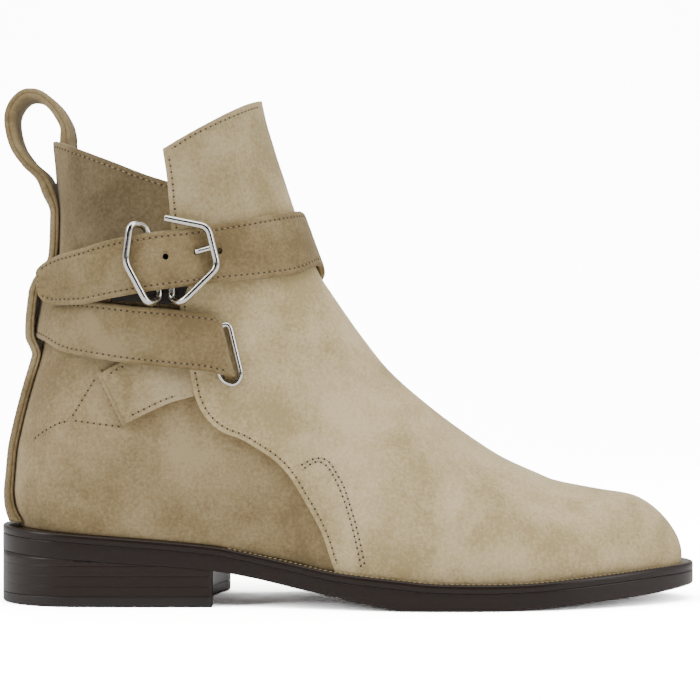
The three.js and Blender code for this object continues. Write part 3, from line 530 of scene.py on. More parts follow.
def suede(name, dark, plain, light, seed=0.0, painted_shade=None):
    """Split suede, brushed: a matt nap with fine speckles, and broad faint clouds where it was
    stroked. Painted shade, if given as a place in mm, a radius and a value, darkens the colour
    round that place."""
    made, tree, shader = material(name)
    place = node(tree, "ShaderNodeTexCoord").outputs["Object"]
    shifted = node(tree, "ShaderNodeMapping", Vector=place, Location=(seed, 0, seed)).outputs[0]
    # Single fibres are too fine to show, so the speckle is 1.3 mm coarse and the fuzz 0.9 mm
    clouds = node(tree, "ShaderNodeTexNoise", Vector=shifted, Scale=per_metre(26),
                  Detail=2, Roughness=0.5, Distortion=0.4).outputs["Fac"]
    nap = node(tree, "ShaderNodeTexNoise", Vector=shifted, Scale=per_metre(1.3),
               Detail=3, Roughness=0.75).outputs["Fac"]
    fleck = node(tree, "ShaderNodeTexNoise", Vector=shifted, Scale=per_metre(5),
                 Detail=3, Roughness=0.6).outputs["Fac"]
    mixed = node(tree, "ShaderNodeMath", {"operation": "MULTIPLY_ADD"}, i0=nap, i1=0.8,
                 i2=clouds).outputs[0]
    mixed = node(tree, "ShaderNodeMath", {"operation": "MULTIPLY_ADD"}, i0=fleck, i1=0.2,
                 i2=mixed).outputs[0]
    mean = node(tree, "ShaderNodeMath", {"operation": "MULTIPLY"}, i0=mixed, i1=0.5).outputs[0]
    colour = ramp(tree, mean, [(0.4, dark), (0.5, plain), (0.6, light)])
    # Painted shade: the colour is darkened towards a place in side view, standing in for shade
    # that falls there.
    if painted_shade:
        x, z, radius, value = painted_shade
        away = node(tree, "ShaderNodeVectorMath", {"operation": "MULTIPLY"}, i0=place,
                    i1=(1, 0, 1)).outputs[0]
        away = node(tree, "ShaderNodeVectorMath", {"operation": "DISTANCE"}, i0=away,
                    i1=(x * METRE, 0, z * METRE)).outputs["Value"]
        shade = node(tree, "ShaderNodeMapRange", {"interpolation_type": "SMOOTHSTEP"}, i0=away,
                     i1=radius * 0.3 * METRE, i2=radius * METRE, i3=value, i4=1.0).outputs[0]
        tint = node(tree, "ShaderNodeHueSaturation", Color=colour, Fac=1, Value=shade)
        colour = tint.outputs[0]
    tree.links.new(colour, shader.inputs["Base Color"])
    shader.inputs["Roughness"].default_value = 0.95
    shader.inputs["Specular IOR Level"].default_value = 0.1
    shader.inputs["Sheen Weight"].default_value = 0.12
    shader.inputs["Sheen Roughness"].default_value = 0.5
    fuzz = node(tree, "ShaderNodeTexNoise", Vector=place, Scale=per_metre(0.9), Detail=2,
                Roughness=0.7).outputs["Fac"]
    bump = node(tree, "ShaderNodeBump", Height=fuzz, Strength=0.5, Distance=0.0004)
    tree.links.new(bump.outputs[0], shader.inputs["Normal"])
    return made


def sole_leather(name, dark, plain, gloss, seed=0.0):
    """Sole leather, edge-trimmed, inked and burnished: dark with fine streaks along the edge."""
    made, tree, shader = material(name)
    place = node(tree, "ShaderNodeTexCoord").outputs["Object"]
    stretched = node(tree, "ShaderNodeMapping", Vector=place, Location=(seed, 0, 0),
                     Scale=(per_metre(60), per_metre(60), per_metre(0.8))).outputs[0]
    streaks = node(tree, "ShaderNodeTexNoise", Vector=stretched, Scale=1, Detail=4,
                   Roughness=0.65).outputs["Fac"]
    colour = ramp(tree, streaks, [(0.2, dark), (0.8, plain)])
    tree.links.new(colour, shader.inputs["Base Color"])
    shader.inputs["Roughness"].default_value = gloss
    shader.inputs["Specular IOR Level"].default_value = 0.35
    bump = node(tree, "ShaderNodeBump", Height=streaks, Strength=0.1, Distance=0.0001)
    tree.links.new(bump.outputs[0], shader.inputs["Normal"])
    return made


def nickel(name):
    """Nickel-plated steel wire, polished: mirror-bright with faint wear in its polish."""
    made, tree, shader = material(name)
    place = node(tree, "ShaderNodeTexCoord").outputs["Object"]
    wear = node(tree, "ShaderNodeTexNoise", Vector=place, Scale=per_metre(3), Detail=3).outputs[0]
    rough = node(tree, "ShaderNodeMapRange", i0=wear, i3=0.1, i4=0.22).outputs[0]
    tree.links.new(rough, shader.inputs["Roughness"])
    shader.inputs["Base Color"].default_value = linear("#d2cfc8")
    shader.inputs["Metallic"].default_value = 1
    return made


def thread(name, code):
    """Waxed linen thread: matt, with the ply's light and dark."""
    made, tree, shader = material(name)
    place = node(tree, "ShaderNodeTexCoord").outputs["Object"]
    ply = node(tree, "ShaderNodeTexNoise", Vector=place, Scale=per_metre(0.5), Detail=1).outputs[0]
    value = node(tree, "ShaderNodeMapRange", i0=ply, i3=0.75, i4=1.2).outputs[0]
    tint = node(tree, "ShaderNodeHueSaturation", Color=linear(code), Fac=1, Value=value)
    tree.links.new(tint.outputs[0], shader.inputs["Base Color"])
    shader.inputs["Roughness"].default_value = 0.75
    return made


def smooth_leather(name, dark, plain, rough=0.6):
    """Smooth lining leather: matt-smooth with a fine grain."""
    made, tree, shader = material(name)
    place = node(tree, "ShaderNodeTexCoord").outputs["Object"]
    tone = node(tree, "ShaderNodeTexNoise", Vector=place, Scale=per_metre(9), Detail=4).outputs[0]
    tree.links.new(ramp(tree, tone, [(0.35, dark), (0.65, plain)]), shader.inputs["Base Color"])
    shader.inputs["Roughness"].default_value = rough
    grain = node(tree, "ShaderNodeTexVoronoi", Vector=place, Scale=per_metre(0.9)).outputs[0]
    bump = node(tree, "ShaderNodeBump", Height=grain, Strength=0.15, Distance=0.0002)
    tree.links.new(bump.outputs[0], shader.inputs["Normal"])
    return made


# The last tuples are painted shade: on the vamp, darker over its flap; on the quarter, darker
# beside the flap, where it bends in and lies in the flap's shadow.
VAMP_SUEDE = suede("light taupe suede", "#a9966c", "#c0ac83", "#d0bc94", 0.3,
                   (-50, 172, 52, 0.78))
QUARTER_SUEDE = suede("taupe suede", "#827050", "#978461", "#a89572", 1.7, (-91, 157, 38, 0.52))
STRAP_SUEDE = suede("strap suede", "#766545", "#8a7856", "#9b8967", 2.9)
TAB_SUEDE = suede("tab suede", "#8b7956", "#a3916d", "#b4a280", 4.1)
LINING = smooth_leather("calf lining", "#8d7a5c", "#a08c6c")
SOCK = smooth_leather("insole leather", "#8f7a58", "#a38d68", 0.55)
EDGE_LEATHER = sole_leather("burnished sole leather", "#1a100b", "#22150e", 0.36)
HEEL_LEATHER = sole_leather("burnished heel leather", "#1c120c", "#251810", 0.36, 0.7)
LIFT_RUBBER = smooth_leather("heel lift rubber", "#18100b", "#20150f", 0.45)
CHAPE_LEATHER = smooth_leather("dark chape leather", "#120a05", "#20130a", 0.7)
NICKEL = nickel("polished nickel")
TONAL_THREAD = thread("tonal linen thread", "#988663")
GREY_THREAD = thread("grey linen thread", "#a39a8c")
WELT_THREAD = thread("welt linen thread", "#a8956c")
NEEDLE_SHADE = smooth_leather("shaded needle hole", "#3c3021", "#4a3c2a", 0.9)

# Camera, at the photograph's view: level, from the lateral side


def look():
    camera_data = bpy.data.cameras.new("camera")
    camera_data.sensor_width = 36
    camera_data.lens = 111.7
    camera_data.clip_end = 20
    camera = bpy.data.objects.new("camera", camera_data)
    camera.location = (0.0004, -0.85, 0.0971)
    camera.rotation_euler = (math.radians(90), 0, 0)
    bpy.context.scene.collection.objects.link(camera)
    bpy.context.scene.camera = camera


look()


# Upper

VAMP_EDGE = table("along up", [
    (-0.2596, 0.871), (-0.2544, 0.816), (-0.2493, 0.726), (-0.237, 0.525), (-0.2226, 0.365),
    (-0.2189, 0.335), (-0.2148, 0.302), (-0.2093, 0.28), (-0.1944, 0.248), (-0.1737, 0.226),
    (-0.1533, 0.217), (-0.1256, 0.197), (-0.1085, 0.184), (-0.0885, 0.163), (-0.0644, 0.124),
    (-0.0459, 0.091), (-0.033, 0.062), (-0.0259, 0.036), (-0.0189, 0.009), (-0.0165, 0),
])
vamp_edge = soft_line(side_place(VAMP_EDGE["along"], VAMP_EDGE["up"]))
vamp_edge[-1, 1] = bed(vamp_edge[-1, 0])
FLAP = table("along up", [
    (-0.2596, 0.871), (-0.2237, 0.911), (-0.1937, 0.939), (-0.1619, 0.969), (-0.1411, 0.99),
    (-0.131, 1),
])
flap_top = soft_line(side_place(FLAP["along"], FLAP["up"]), 60)
COLLAR = table("along up", [
    (-0.47, 0.918), (-0.42, 0.901), (-0.39, 0.881), (-0.335, 0.846), (-0.27, 0.806),
    (-0.245, 0.796), (-0.222, 0.804), (-0.205, 0.842), (-0.185, 0.9), (-0.155, 0.94),
    (-0.09, 0.985),
])
collar_line = curve(COLLAR["along"] * SOLE_LENGTH, SEAT_HEIGHT + COLLAR["up"] * SHAFT_HEIGHT)


def ridge_path(top_z, count=900):
    """The ridge in side view, from the top of the flap down to the toe's tip."""
    top = front_at(top_z)
    x = mix(top, UPPER_TOE, np.sin(np.linspace(0, 1, count) * math.pi / 2))
    return np.stack([x, ridge(x)], axis=1)


def bed_path(start, count=400):
    x = mix(start, UPPER_TOE, np.sin(np.linspace(0, 1, count) * math.pi / 2))
    return np.stack([x, bed(x)], axis=1)


# How a fan of lines over the vamp matches the ridge with the edge below it, both as shares
FAN = table("step ridge edge", [(0, 0, 0), (0.3, 0.36, 0.28), (0.6, 0.6, 0.58), (1, 1, 1)])


def over_both_sides(x, z, across):
    """Rows of points on the form at places in side view: lateral where across is below 0, medial
    above 0, and on the middle line half-way."""
    side = np.broadcast_to(np.where(across < 0, LATERAL, MEDIAL), x.shape)
    half = half_width(x, z, side)
    half[:, x.shape[1] // 2] = 0
    return np.stack([x, middle(x) + side * half, z], axis=-1)


def fan(ridge_line, edge_line, rows, columns):
    """Both sides of the vamp as rows of points from the lateral edge over the ridge to the
    medial edge."""
    step = np.linspace(0, 1, rows)
    step = mix(step, np.sin(step * math.pi / 2), 0.5)
    sides = []
    for line, key in ((ridge_line, "ridge"), (edge_line, "edge")):
        at = curve(FAN["step"], FAN[key])(step) * line_length(line)[-1]
        sides.append(at_lengths(line, at))
    high, low = sides
    across = np.linspace(-1, 1, 2 * columns + 1)
    share = 1 - np.cos(np.abs(across) * math.pi / 2)
    places = mix(high[:, None], low[:, None], share[None, :, None])
    return over_both_sides(places[..., 0], places[..., 1], across)


# The quarters' front edge, out of sight under the vamp
HIDDEN_EDGE = np.array([
    (-57.5, 182), (-54, 140), (-49, 110), (-40, 88), (-26, 70), (-10, 54), (2, 38), (9, 22),
    (12, 8),
])
hidden_edge = soft_line(HIDDEN_EDGE)


def around_heel(front_edge, rows, columns):
    """The quarters as rows of points round the heel, from the bed up to the collar."""
    across = np.linspace(-1, 1, 2 * columns + 1)[None, :]
    share = 1 - np.cos(np.abs(across) * math.pi / 2)
    up = np.linspace(0, 1, rows)[:, None]
    z = mix(SEAT_HEIGHT, SEAT_HEIGHT + 0.85 * SHAFT_HEIGHT, up) + 0 * across
    x = 0 * z
    for _ in range(30):
        edge_x = np.interp(z, front_edge[::-1, 1], front_edge[::-1, 0])
        x = mix(x, mix(back_at(z), edge_x, share), 0.6)
        z = mix(bed(x), collar_line(x), up)
    return over_both_sides(x, z, across)


def make_vamp():
    """The vamp with its flap: one sheet over both sides of the foot."""
    edge = np.concatenate([vamp_edge, bed_path(vamp_edge[-1, 0])[1:]])
    grid = fan(ridge_path(flap_top[-1, 1]), edge, 260, 48)
    bm = wall(grid, OVERLAY_OUT, CLEARANCE, EDGE_ROUND)
    piece("vamp", bm, VAMP_SUEDE, "vamp", "vamp")


def make_quarters():
    """The suede of the quarters, in one sheet round the heel."""
    bm = wall(around_heel(hidden_edge, 120, 80), 0, -SUEDE_WALL, THIN_EDGE_ROUND)
    piece("quarters", bm, QUARTER_SUEDE, "quarters", "quarters")


# Where the lining's front part starts at the collar, and where its top is level with the collar
LINING_START = -57.3
LINING_LEVEL_AT = -34.0
LINING_BELOW_COLLAR = 0.3


def make_lining():
    """Calf lining: behind the quarters, and under the vamp where there are no quarters."""
    grid = around_heel(hidden_edge, 80, 60)
    grid[-1, :, 2] -= LINING_BELOW_COLLAR
    piece("lining_back", wall(grid, -SUEDE_WALL, -UPPER_WALL), LINING, "insole")
    top = np.array([LINING_START, float(collar_line(LINING_START))])
    x, z = hidden_edge.T
    below = hidden_edge[(z < top[1]) & (z > bed(x))]
    line = np.concatenate([[top], below, bed_path(below[-1, 0])])
    collar_front = front_at(collar_line(LINING_LEVEL_AT))
    grid = fan(ridge_path(collar_line(collar_front)), line, 150, 36)
    piece("lining_front", wall(grid, 0, -UPPER_WALL, THIN_EDGE_ROUND), LINING, "insole")


make_vamp()
make_quarters()
make_lining()


# Insole


def make_insole():
    """The footbed, which dishes a little towards its middle."""
    share = np.linspace(0, 1, 90)[:, None]
    across = np.linspace(-1, 1, 25)[None, :]
    x = mix(BACK_MOST + UPPER_WALL + CLEARANCE, UPPER_TOE - UPPER_WALL - CLEARANCE,
            (1 - np.cos(math.pi * share)) / 2) + 0 * across
    low = bed(x) + CLEARANCE
    side = np.broadcast_to(np.where(across < 0, LATERAL, MEDIAL), x.shape)
    half = half_width(x, low + INSOLE_THICKNESS / 2, side) - UPPER_WALL - 2 * CLEARANCE
    y = middle(x) + across * np.maximum(0, half)
    dish = 0.8 * across**2 - 0.4
    top = np.stack([x, y, low + INSOLE_THICKNESS + dish], axis=-1)
    bottom = np.stack([x, y, low], axis=-1)
    ring = np.concatenate([top, bottom[:, ::-1], top[:, :1]], axis=1)
    piece("insole", grid_mesh(ring), SOCK, "insole", "insole")


make_insole()


# Sole and heel


def slab(top, bottom, profile, stations=220, across=9):
    """A plan slab: profile rows give, from the top face down to the bottom face, how far the edge
    is set in, what share of the height it is at, and what is added to that height."""
    share = np.linspace(0, 1, stations)
    place = -np.cos(math.pi * share)
    rings = []
    for ledge, part, rise in profile:
        end = HALF_LENGTH - ledge
        x = place * end
        z = mix(bottom(x), top(x), part) + rise
        sides = []
        for side in (LATERAL, MEDIAL):
            y = middle(x) + side * outline(x, np.full_like(x, side), ledge, -end, end)
            sides.append(np.stack([x, y, z], axis=1))
        rings.append(sides)
    lateral = [sides[0] for sides in rings]
    medial = [sides[1] for sides in rings]
    shares = np.linspace(0, 1, across)[1:-1]
    under_face = [mix(lateral[-1], medial[-1], share) for share in shares]
    over_face = [mix(medial[0], lateral[0], share) for share in shares]
    loop = lateral + under_face + medial[::-1] + over_face + lateral[:1]
    return grid_mesh(np.stack(loop, axis=1))


def welt_under(x):
    return bed(x) - WELT_THICKNESS


def outsole_top(x):
    return welt_under(x) - GLUE_LINE


def make_sole():
    bm = slab(bed, welt_under, [
        (9, 1, 0), (1.2, 1, 0), (0.35, 1, -0.15), (0, 1, -0.6), (0, 0.5, 0), (0, 0, 0.4),
        (0.02, 0, 0.14), (0.2, 0, 0.03), (4, 0, 0),
    ])
    piece("welt", bm, EDGE_LEATHER, "welt", "welt")
    bm = slab(outsole_top, under, [
        (4, 1, 0), (0.2, 1, -0.03), (0.02, 1, -0.14), (0, 1, -0.4), (0, 0.6, 0), (0, 0.3, 0),
        (0, 0, 0.7), (0, 0, 0.35), (0.12, 0, 0.1), (0.5, 0, 0), (3, 0, 0),
    ])
    piece("outsole", bm, EDGE_LEATHER, "outsole", "outsole")


def heel_plan(inset, count=64, breast_count=24):
    """Plan outline of the heel, with its hollow breast."""
    breast_lateral = -HALF_LENGTH + HEEL_LENGTH
    breast_medial = breast_lateral + BREAST_SKEW
    end = HALF_LENGTH - inset
    share = np.linspace(0, 1, count)
    sides = []
    for side, front in ((MEDIAL, breast_medial - inset), (LATERAL, breast_lateral - inset)):
        x = mix(front, -end, np.sin(math.pi / 2 * share))
        y = side * outline(x, np.full_like(x, side), inset, -end, end)
        sides.append(np.stack([x, y], axis=1))
    run_in = np.concatenate([sides[0], sides[1][::-1][1:]])
    share = np.linspace(0, 1, breast_count)[1:-1, None]
    breast = mix(run_in[-1], run_in[0], share)
    breast[:, 0] -= (4 * share * (1 - share) * BREAST_HOLLOW)[:, 0]
    return np.concatenate([run_in, breast])


def heel_block(rings):
    """A block through plan outlines at heights, closed by flat ends."""
    bm = bmesh.new()
    plan = heel_plan(rings[0][0])
    made = bmesh.ops.create_circle(bm, cap_ends=True, segments=len(plan), radius=1)
    corners = list(made["verts"])

    def place(verts, inset, height):
        for corner, (x, y) in zip(verts, heel_plan(inset)):
            z = height(x) if callable(height) else height
            corner.co = Vector((x, y, z)) * METRE

    place(corners, *rings[0])
    edges = list(bm.edges)
    for inset, height in rings[1:]:
        grown = bmesh.ops.extrude_edge_only(bm, edges=edges)["geom"]
        edges = [item for item in grown if isinstance(item, bmesh.types.BMEdge)]
        fresh = [item for item in grown if isinstance(item, bmesh.types.BMVert)]
        mates = {
            corner: next(edge.other_vert(corner) for edge in corner.link_edges
                         if edge not in set(edges))
            for corner in fresh
        }
        order = {old: at for at, old in enumerate(corners)}
        corners = sorted(fresh, key=lambda corner: order[mates[corner]])
        place(corners, inset, height)
    bmesh.ops.holes_fill(bm, edges=edges)
    bmesh.ops.recalc_face_normals(bm, faces=bm.faces)
    return bm


# The heel's stacked layers: a shallow groove between each two, with its rims this far off
HEEL_LAYERS = 4
HEEL_STACK_TOP = 19.5
GROOVE_RIMS = (0.08, 0.4)
FLUSH = 0.05


def stack_top(x):
    return float(under(np.array(x))) - GLUE_LINE


def make_heel():
    """The heel's leather layers and the rubber lift under them. Each ring of a block gives how
    far it is set in, and its height."""
    low = LIFT_THICKNESS + 0.12
    rings = [(0.15, low)] + [(FLUSH, low + rim) for rim in GROOVE_RIMS]
    for at in range(1, HEEL_LAYERS):
        level = mix(low, HEEL_STACK_TOP, at / HEEL_LAYERS)
        rings += [(FLUSH, level - rim) for rim in GROOVE_RIMS[::-1]]
        rings.append((0.1, level))
        rings += [(FLUSH, level + rim) for rim in GROOVE_RIMS]
    rings += [(FLUSH, 17.8), (FLUSH, stack_top)]
    piece("heel_stack", heel_block(rings), HEEL_LEATHER, "heel_stack", "heel_stack")
    rings = [(0.7, 0), (0.3, 0.25), (0.15, 0.7), (FLUSH, 1), (FLUSH, 3.6), (FLUSH, 3.9),
             (0.15, LIFT_THICKNESS)]
    piece("top_lift", heel_block(rings), LIFT_RUBBER, "top_lift", "top_lift")


make_sole()
make_heel()

# Strips: straps and the back stay, with rounded edges, a seam between their two layers and a dip
# along each stitch line

STRIP_HALF = [(0, 0.25, 1, -0.42), (0, 0.5, 1, -0.14), (0, 0.95, 1, -0.02), (0, 1.45, 1, 0.0),
              (0, 1.8, 1, -0.14), (0, 2.05, 1, -0.22), (0, 2.3, 1, -0.14), (0, 2.8, 1, 0.02),
              (0.3, 0, 1, 0.08), (0.5, 0, 1, 0.1)]
STRIP_EDGE = [(1, 0, 0.8, 0), (1, 0, 0.6, 0), (1, -0.12, 0.54, 0), (1, -0.6, 0.5, 0),
              (1, -0.12, 0.46, 0), (1, 0, 0.4, 0), (1, 0, 0.2, 0), (1, -0.3, 0, 0.25)]


def strip_outline():
    """Cross-section of a strip: its place across as a share of the width and a distance, and its
    depth as a share of the thickness and a distance."""
    mirrored = [(1 - of, -shift, deep, lift) for of, shift, deep, lift in STRIP_HALF[-2::-1]]
    far = STRIP_EDGE
    near = [(1 - of, -shift, deep, lift) for of, shift, deep, lift in STRIP_EDGE[::-1]]
    below = [(1, -1, 0, 0), (0.5, 0, 0, 0), (0, 1, 0, 0)]
    rows = STRIP_HALF + mirrored + far + below + near
    rows.append(rows[0])
    return np.array(rows)


def strip(place, width, thickness):
    """A strip whose place function takes station numbers, distances across and depths."""
    outline_rows = strip_outline()
    stations = np.arange(len(width))[:, None] + np.zeros(len(outline_rows), int)
    across = outline_rows[:, 0] * width[:, None] + outline_rows[:, 1]
    depth = outline_rows[:, 2] * thickness[:, None] + outline_rows[:, 3]
    body = place(stations, across, depth)
    core = thickness[:, None] / 2 + 0 * across
    flat = place(stations, across, core)
    return grid_mesh(np.concatenate([flat[:1], body, flat[-1:]]))


# How far off the skin the hardware's wires and the strap's inner face run over each piece
RING_OUT = OVERLAY_OUT + 2 * CLEARANCE + RING_WIRE / 2
CHAPE_UNDER = OVERLAY_OUT + CLEARANCE
BAR_OUT = CHAPE_UNDER + CHAPE_WALL + CLEARANCE + WIRE / 2
PASSING = WIRE + STRAP_THICKNESS + 2 * CLEARANCE
LOOP_ROOM = STRAP_THICKNESS + STRAP_SLACK
ON_SKIN = 2 * CLEARANCE
ON_BACK = ON_SKIN + 0.3 * STRAP_SLACK
ON_TAB = TAB_WALL + 2 * CLEARANCE
ON_VAMP = OVERLAY_OUT + 2.5 * CLEARANCE
ON_RING = RING_OUT + RING_WIRE / 2 + CLEARANCE
ON_BARS = BAR_OUT + WIRE / 2 + 1.3 * CLEARANCE
ON_STRAP = ON_SKIN + STRAP_THICKNESS + 4.5 * CLEARANCE
ON_STAY = STAY_THICKNESS + LOOP_ROOM

# Turn 0 is the back of the boot. Lean is how much further round the lower edge is than the upper.
STRAP = table("turn high low out lean", [
    (-0.282, 0.487, 0.347, ON_RING, 0.0057), (-0.272, 0.4945, 0.352, ON_RING, 0.004),
    (-0.252, 0.5, 0.362, mix(ON_TAB, ON_RING, 0.93), 0),
    (-0.225, 0.506, 0.369, mix(ON_TAB, ON_RING, 0.3), 0), (-0.2, 0.51, 0.375, ON_TAB, 0),
    (-0.15, 0.519, 0.389, ON_TAB, 0), (-0.11, 0.525, 0.401, mix(ON_SKIN, ON_TAB, 0.3), 0),
    (-0.06, 0.545, 0.429, mix(ON_SKIN, ON_BACK, 0.45), 0), (0, 0.558, 0.442, ON_BACK, 0),
    (0.06, 0.571, 0.45, mix(ON_SKIN, ON_BACK, 0.6), 0), (0.15, 0.592, 0.466, ON_SKIN, 0),
    (0.23, 0.613, 0.484, mix(ON_SKIN, ON_VAMP, 0.9), 0), (0.3, 0.634, 0.506, ON_VAMP, 0),
    (0.4, 0.669, 0.544, ON_VAMP, 0), (0.47, 0.708, 0.577, ON_VAMP, 0),
    (0.5, 0.724, 0.601, ON_VAMP, 0), (0.53, 0.729, 0.601, ON_VAMP, 0),
    (0.6, 0.72, 0.58, ON_VAMP, 0), (0.66, 0.706, 0.569, mix(ON_VAMP, ON_BARS, 0.1), 0),
    (0.7, 0.696, 0.564, mix(ON_VAMP, ON_BARS, 0.4), 0),
    (0.735, 0.689, 0.559, mix(ON_VAMP, ON_BARS, 0.85), 0), (0.76, 0.685, 0.553, ON_BARS, 0),
    (0.79, 0.677, 0.545, ON_BARS, 0), (0.83, 0.661, 0.528, mix(ON_STRAP, ON_BARS, 0.65), 0),
    (0.87, 0.6415, 0.512, mix(ON_STRAP, ON_BARS, 0.17), 0),
    (0.91, 0.628, 0.5095, ON_STRAP, -0.002),
    (0.93, 0.614, 0.514, mix(ON_STRAP, ON_STAY, 0.3), -0.009),
    (0.943, 0.5955, 0.5165, mix(ON_STRAP, ON_STAY, 0.65), -0.013),
])
strap_high = curve(STRAP["turn"], STRAP["high"] * SHAFT_HEIGHT + SEAT_HEIGHT)
strap_low = curve(STRAP["turn"], STRAP["low"] * SHAFT_HEIGHT + SEAT_HEIGHT)
strap_out = curve(STRAP["turn"], STRAP["out"])
strap_lean = curve(STRAP["turn"], STRAP["lean"])
STRAP_END_STEPS = 28
FOLD_RADIUS = 2.4
TIP_RADIUS = 4.5


def strap_point(turn, across, depth):
    """A point of the strap: across in millimetres up from its lower edge."""
    low = strap_low(turn)
    share = across / (strap_high(turn) - low)
    z = mix(low, strap_high(turn), share)
    leant = turn + strap_lean(turn) * (1 - share)
    return turn_point(np.where(leant > 0.5, leant - 1, leant), z, strap_out(turn) + depth)


def strap_turns():
    """Stations along the strap, close together near both ends."""
    first, last = STRAP["turn"][0], STRAP["turn"][-1]
    near = 0.016 * (1 - np.cos(np.linspace(0, math.pi / 2, STRAP_END_STEPS)))
    between = np.linspace(first + near[-1], last - near[-1], 400)[1:-1]
    return np.concatenate([first + near, between, last - near[::-1]])


def round_off(distance, radius):
    """How far a rounded corner is cut back at a distance from the end."""
    return radius * (1 - np.sqrt(1 - np.clip(1 - distance / radius, 0, 1) ** 2))


strap_stations = strap_turns()
strap_run = line_length(strap_point(strap_stations, 10.0 + 0 * strap_stations,
                                    0 * strap_stations))


def strap_place(at, across, depth):
    """Points of the strap by station: its start folds down round the ring's hidden bar, and the
    lower corner of its tip is rounded."""
    turn = strap_stations[at]
    width = strap_high(turn) - strap_low(turn)
    to_tip = strap_run[-1] - strap_run[at]
    cut = np.minimum(round_off(to_tip, TIP_RADIUS), 0.8 * width)
    nick = np.minimum(round_off(to_tip, 1.2), 0.1 * width)
    start_cut = round_off(strap_run[at], 1.5)
    cut = np.maximum(cut, start_cut)
    nick = np.maximum(nick, start_cut)
    fold = round_off(strap_run[at], FOLD_RADIUS)
    return strap_point(turn, cut + across * (width - cut - nick) / width, depth - fold)


# Punched holes of the tail: turn and distance from the lower edge. The prong is in the middle one.
STRAP_HOLES = [(0.7601, 12.0), (0.7231, 12.2), (0.6975, 11.8)]
HOLE_WIDTH = 2.3
# How far the punch reaches to both sides of the outer face: through the strap
HOLE_DEPTH = 3.2


def axes_at(point, along, normal):
    """A matrix that stands things on a surface: X along a seam, Z off the surface."""
    across = unit(np.cross(normal, along))
    along = np.cross(across, normal)
    matrix = Matrix([
        [along[row], across[row], normal[row], point[row] * METRE] for row in range(3)
    ])
    return matrix.to_4x4()


def punch(made, turn, across):
    """Punches a round hole through the strap."""
    spot = strap_point(np.array([turn]), np.array([across]), np.array([STRAP_THICKNESS]))[0]
    inner = strap_point(np.array([turn]), np.array([across]), np.array([0.0]))[0]
    normal = unit(spot - inner)
    along = unit(np.cross(normal, np.array([0.0, 0.0, 1.0])))
    bm = bmesh.new()
    bmesh.ops.create_cone(
        bm, cap_ends=True, segments=24, radius1=HOLE_WIDTH / 2 * METRE,
        radius2=HOLE_WIDTH / 2 * METRE, depth=2 * HOLE_DEPTH * METRE,
        matrix=axes_at(spot, along, normal),
    )
    mesh = bpy.data.meshes.new("punch")
    bm.to_mesh(mesh)
    bm.free()
    cutter = bpy.data.objects.new("punch", mesh)
    bpy.context.scene.collection.objects.link(cutter)
    modifier = made.modifiers.new("hole", "BOOLEAN")
    modifier.operation = "DIFFERENCE"
    modifier.object = cutter
    modifier.solver = "EXACT"
    with bpy.context.temp_override(object=made, active_object=made):
        bpy.ops.object.modifier_apply(modifier=modifier.name)
    bpy.data.objects.remove(cutter)
    bpy.data.meshes.remove(mesh)


def make_strap():
    width = strap_high(strap_stations) - strap_low(strap_stations)
    thickness = np.full_like(strap_stations, STRAP_THICKNESS)
    made = piece("wrap_strap", strip(strap_place, width, thickness), STRAP_SUEDE, "wrap_strap",
                 "wrap_strap")
    for turn, across in STRAP_HOLES:
        punch(made, turn, across)


make_strap()

STAY = table("up bulge width", [
    (0.008, 0.05, STAY_FOOT_WIDTH), (0.05, 0.03, 0.85 * STAY_FOOT_WIDTH),
    (0.12, 0, 0.77 * STAY_FOOT_WIDTH), (0.2, 0, 1.01 * STAY_WIDTH), (0.3, 0, STAY_WIDTH),
    (0.39, 0, STAY_WIDTH), (0.41, 0.09, STAY_WIDTH), (0.43, 0.55, STAY_WIDTH),
    (0.45, 0.74, STAY_WIDTH), (0.48, 0.88, STAY_WIDTH), (0.51, 0.95, STAY_WIDTH),
    (0.545, 1, STAY_WIDTH), (0.575, 0.83, STAY_WIDTH), (0.6, 0.4, STAY_WIDTH),
    (0.625, 0.06, STAY_WIDTH), (0.66, 0, STAY_WIDTH), (0.74, 0, STAY_WIDTH),
])
LOOP_HEIGHT = 20.5
LOOP_REACH = 15.4
LOOP = table("out up hug", [
    (0.165, -0.927, 1), (0.29, -0.68, 0.6), (0.584, -0.43, 0), (0.857, -0.146, 0),
    (1, 0.19, 0), (1.02, 0.493, 0), (0.883, 0.727, 0), (0.63, 0.878, 0), (0.351, 0.878, 0),
    (0.052, 0.737, 0), (-0.2, 0.517, 0), (-0.3, 0.312, 0.4), (-0.285, 0.09, 1),
])
COLLAR_BACK_Z = SEAT_HEIGHT + 0.905 * SHAFT_HEIGHT
TAG_IN = UPPER_WALL + 2 * CLEARANCE + PULL_THICKNESS / 2


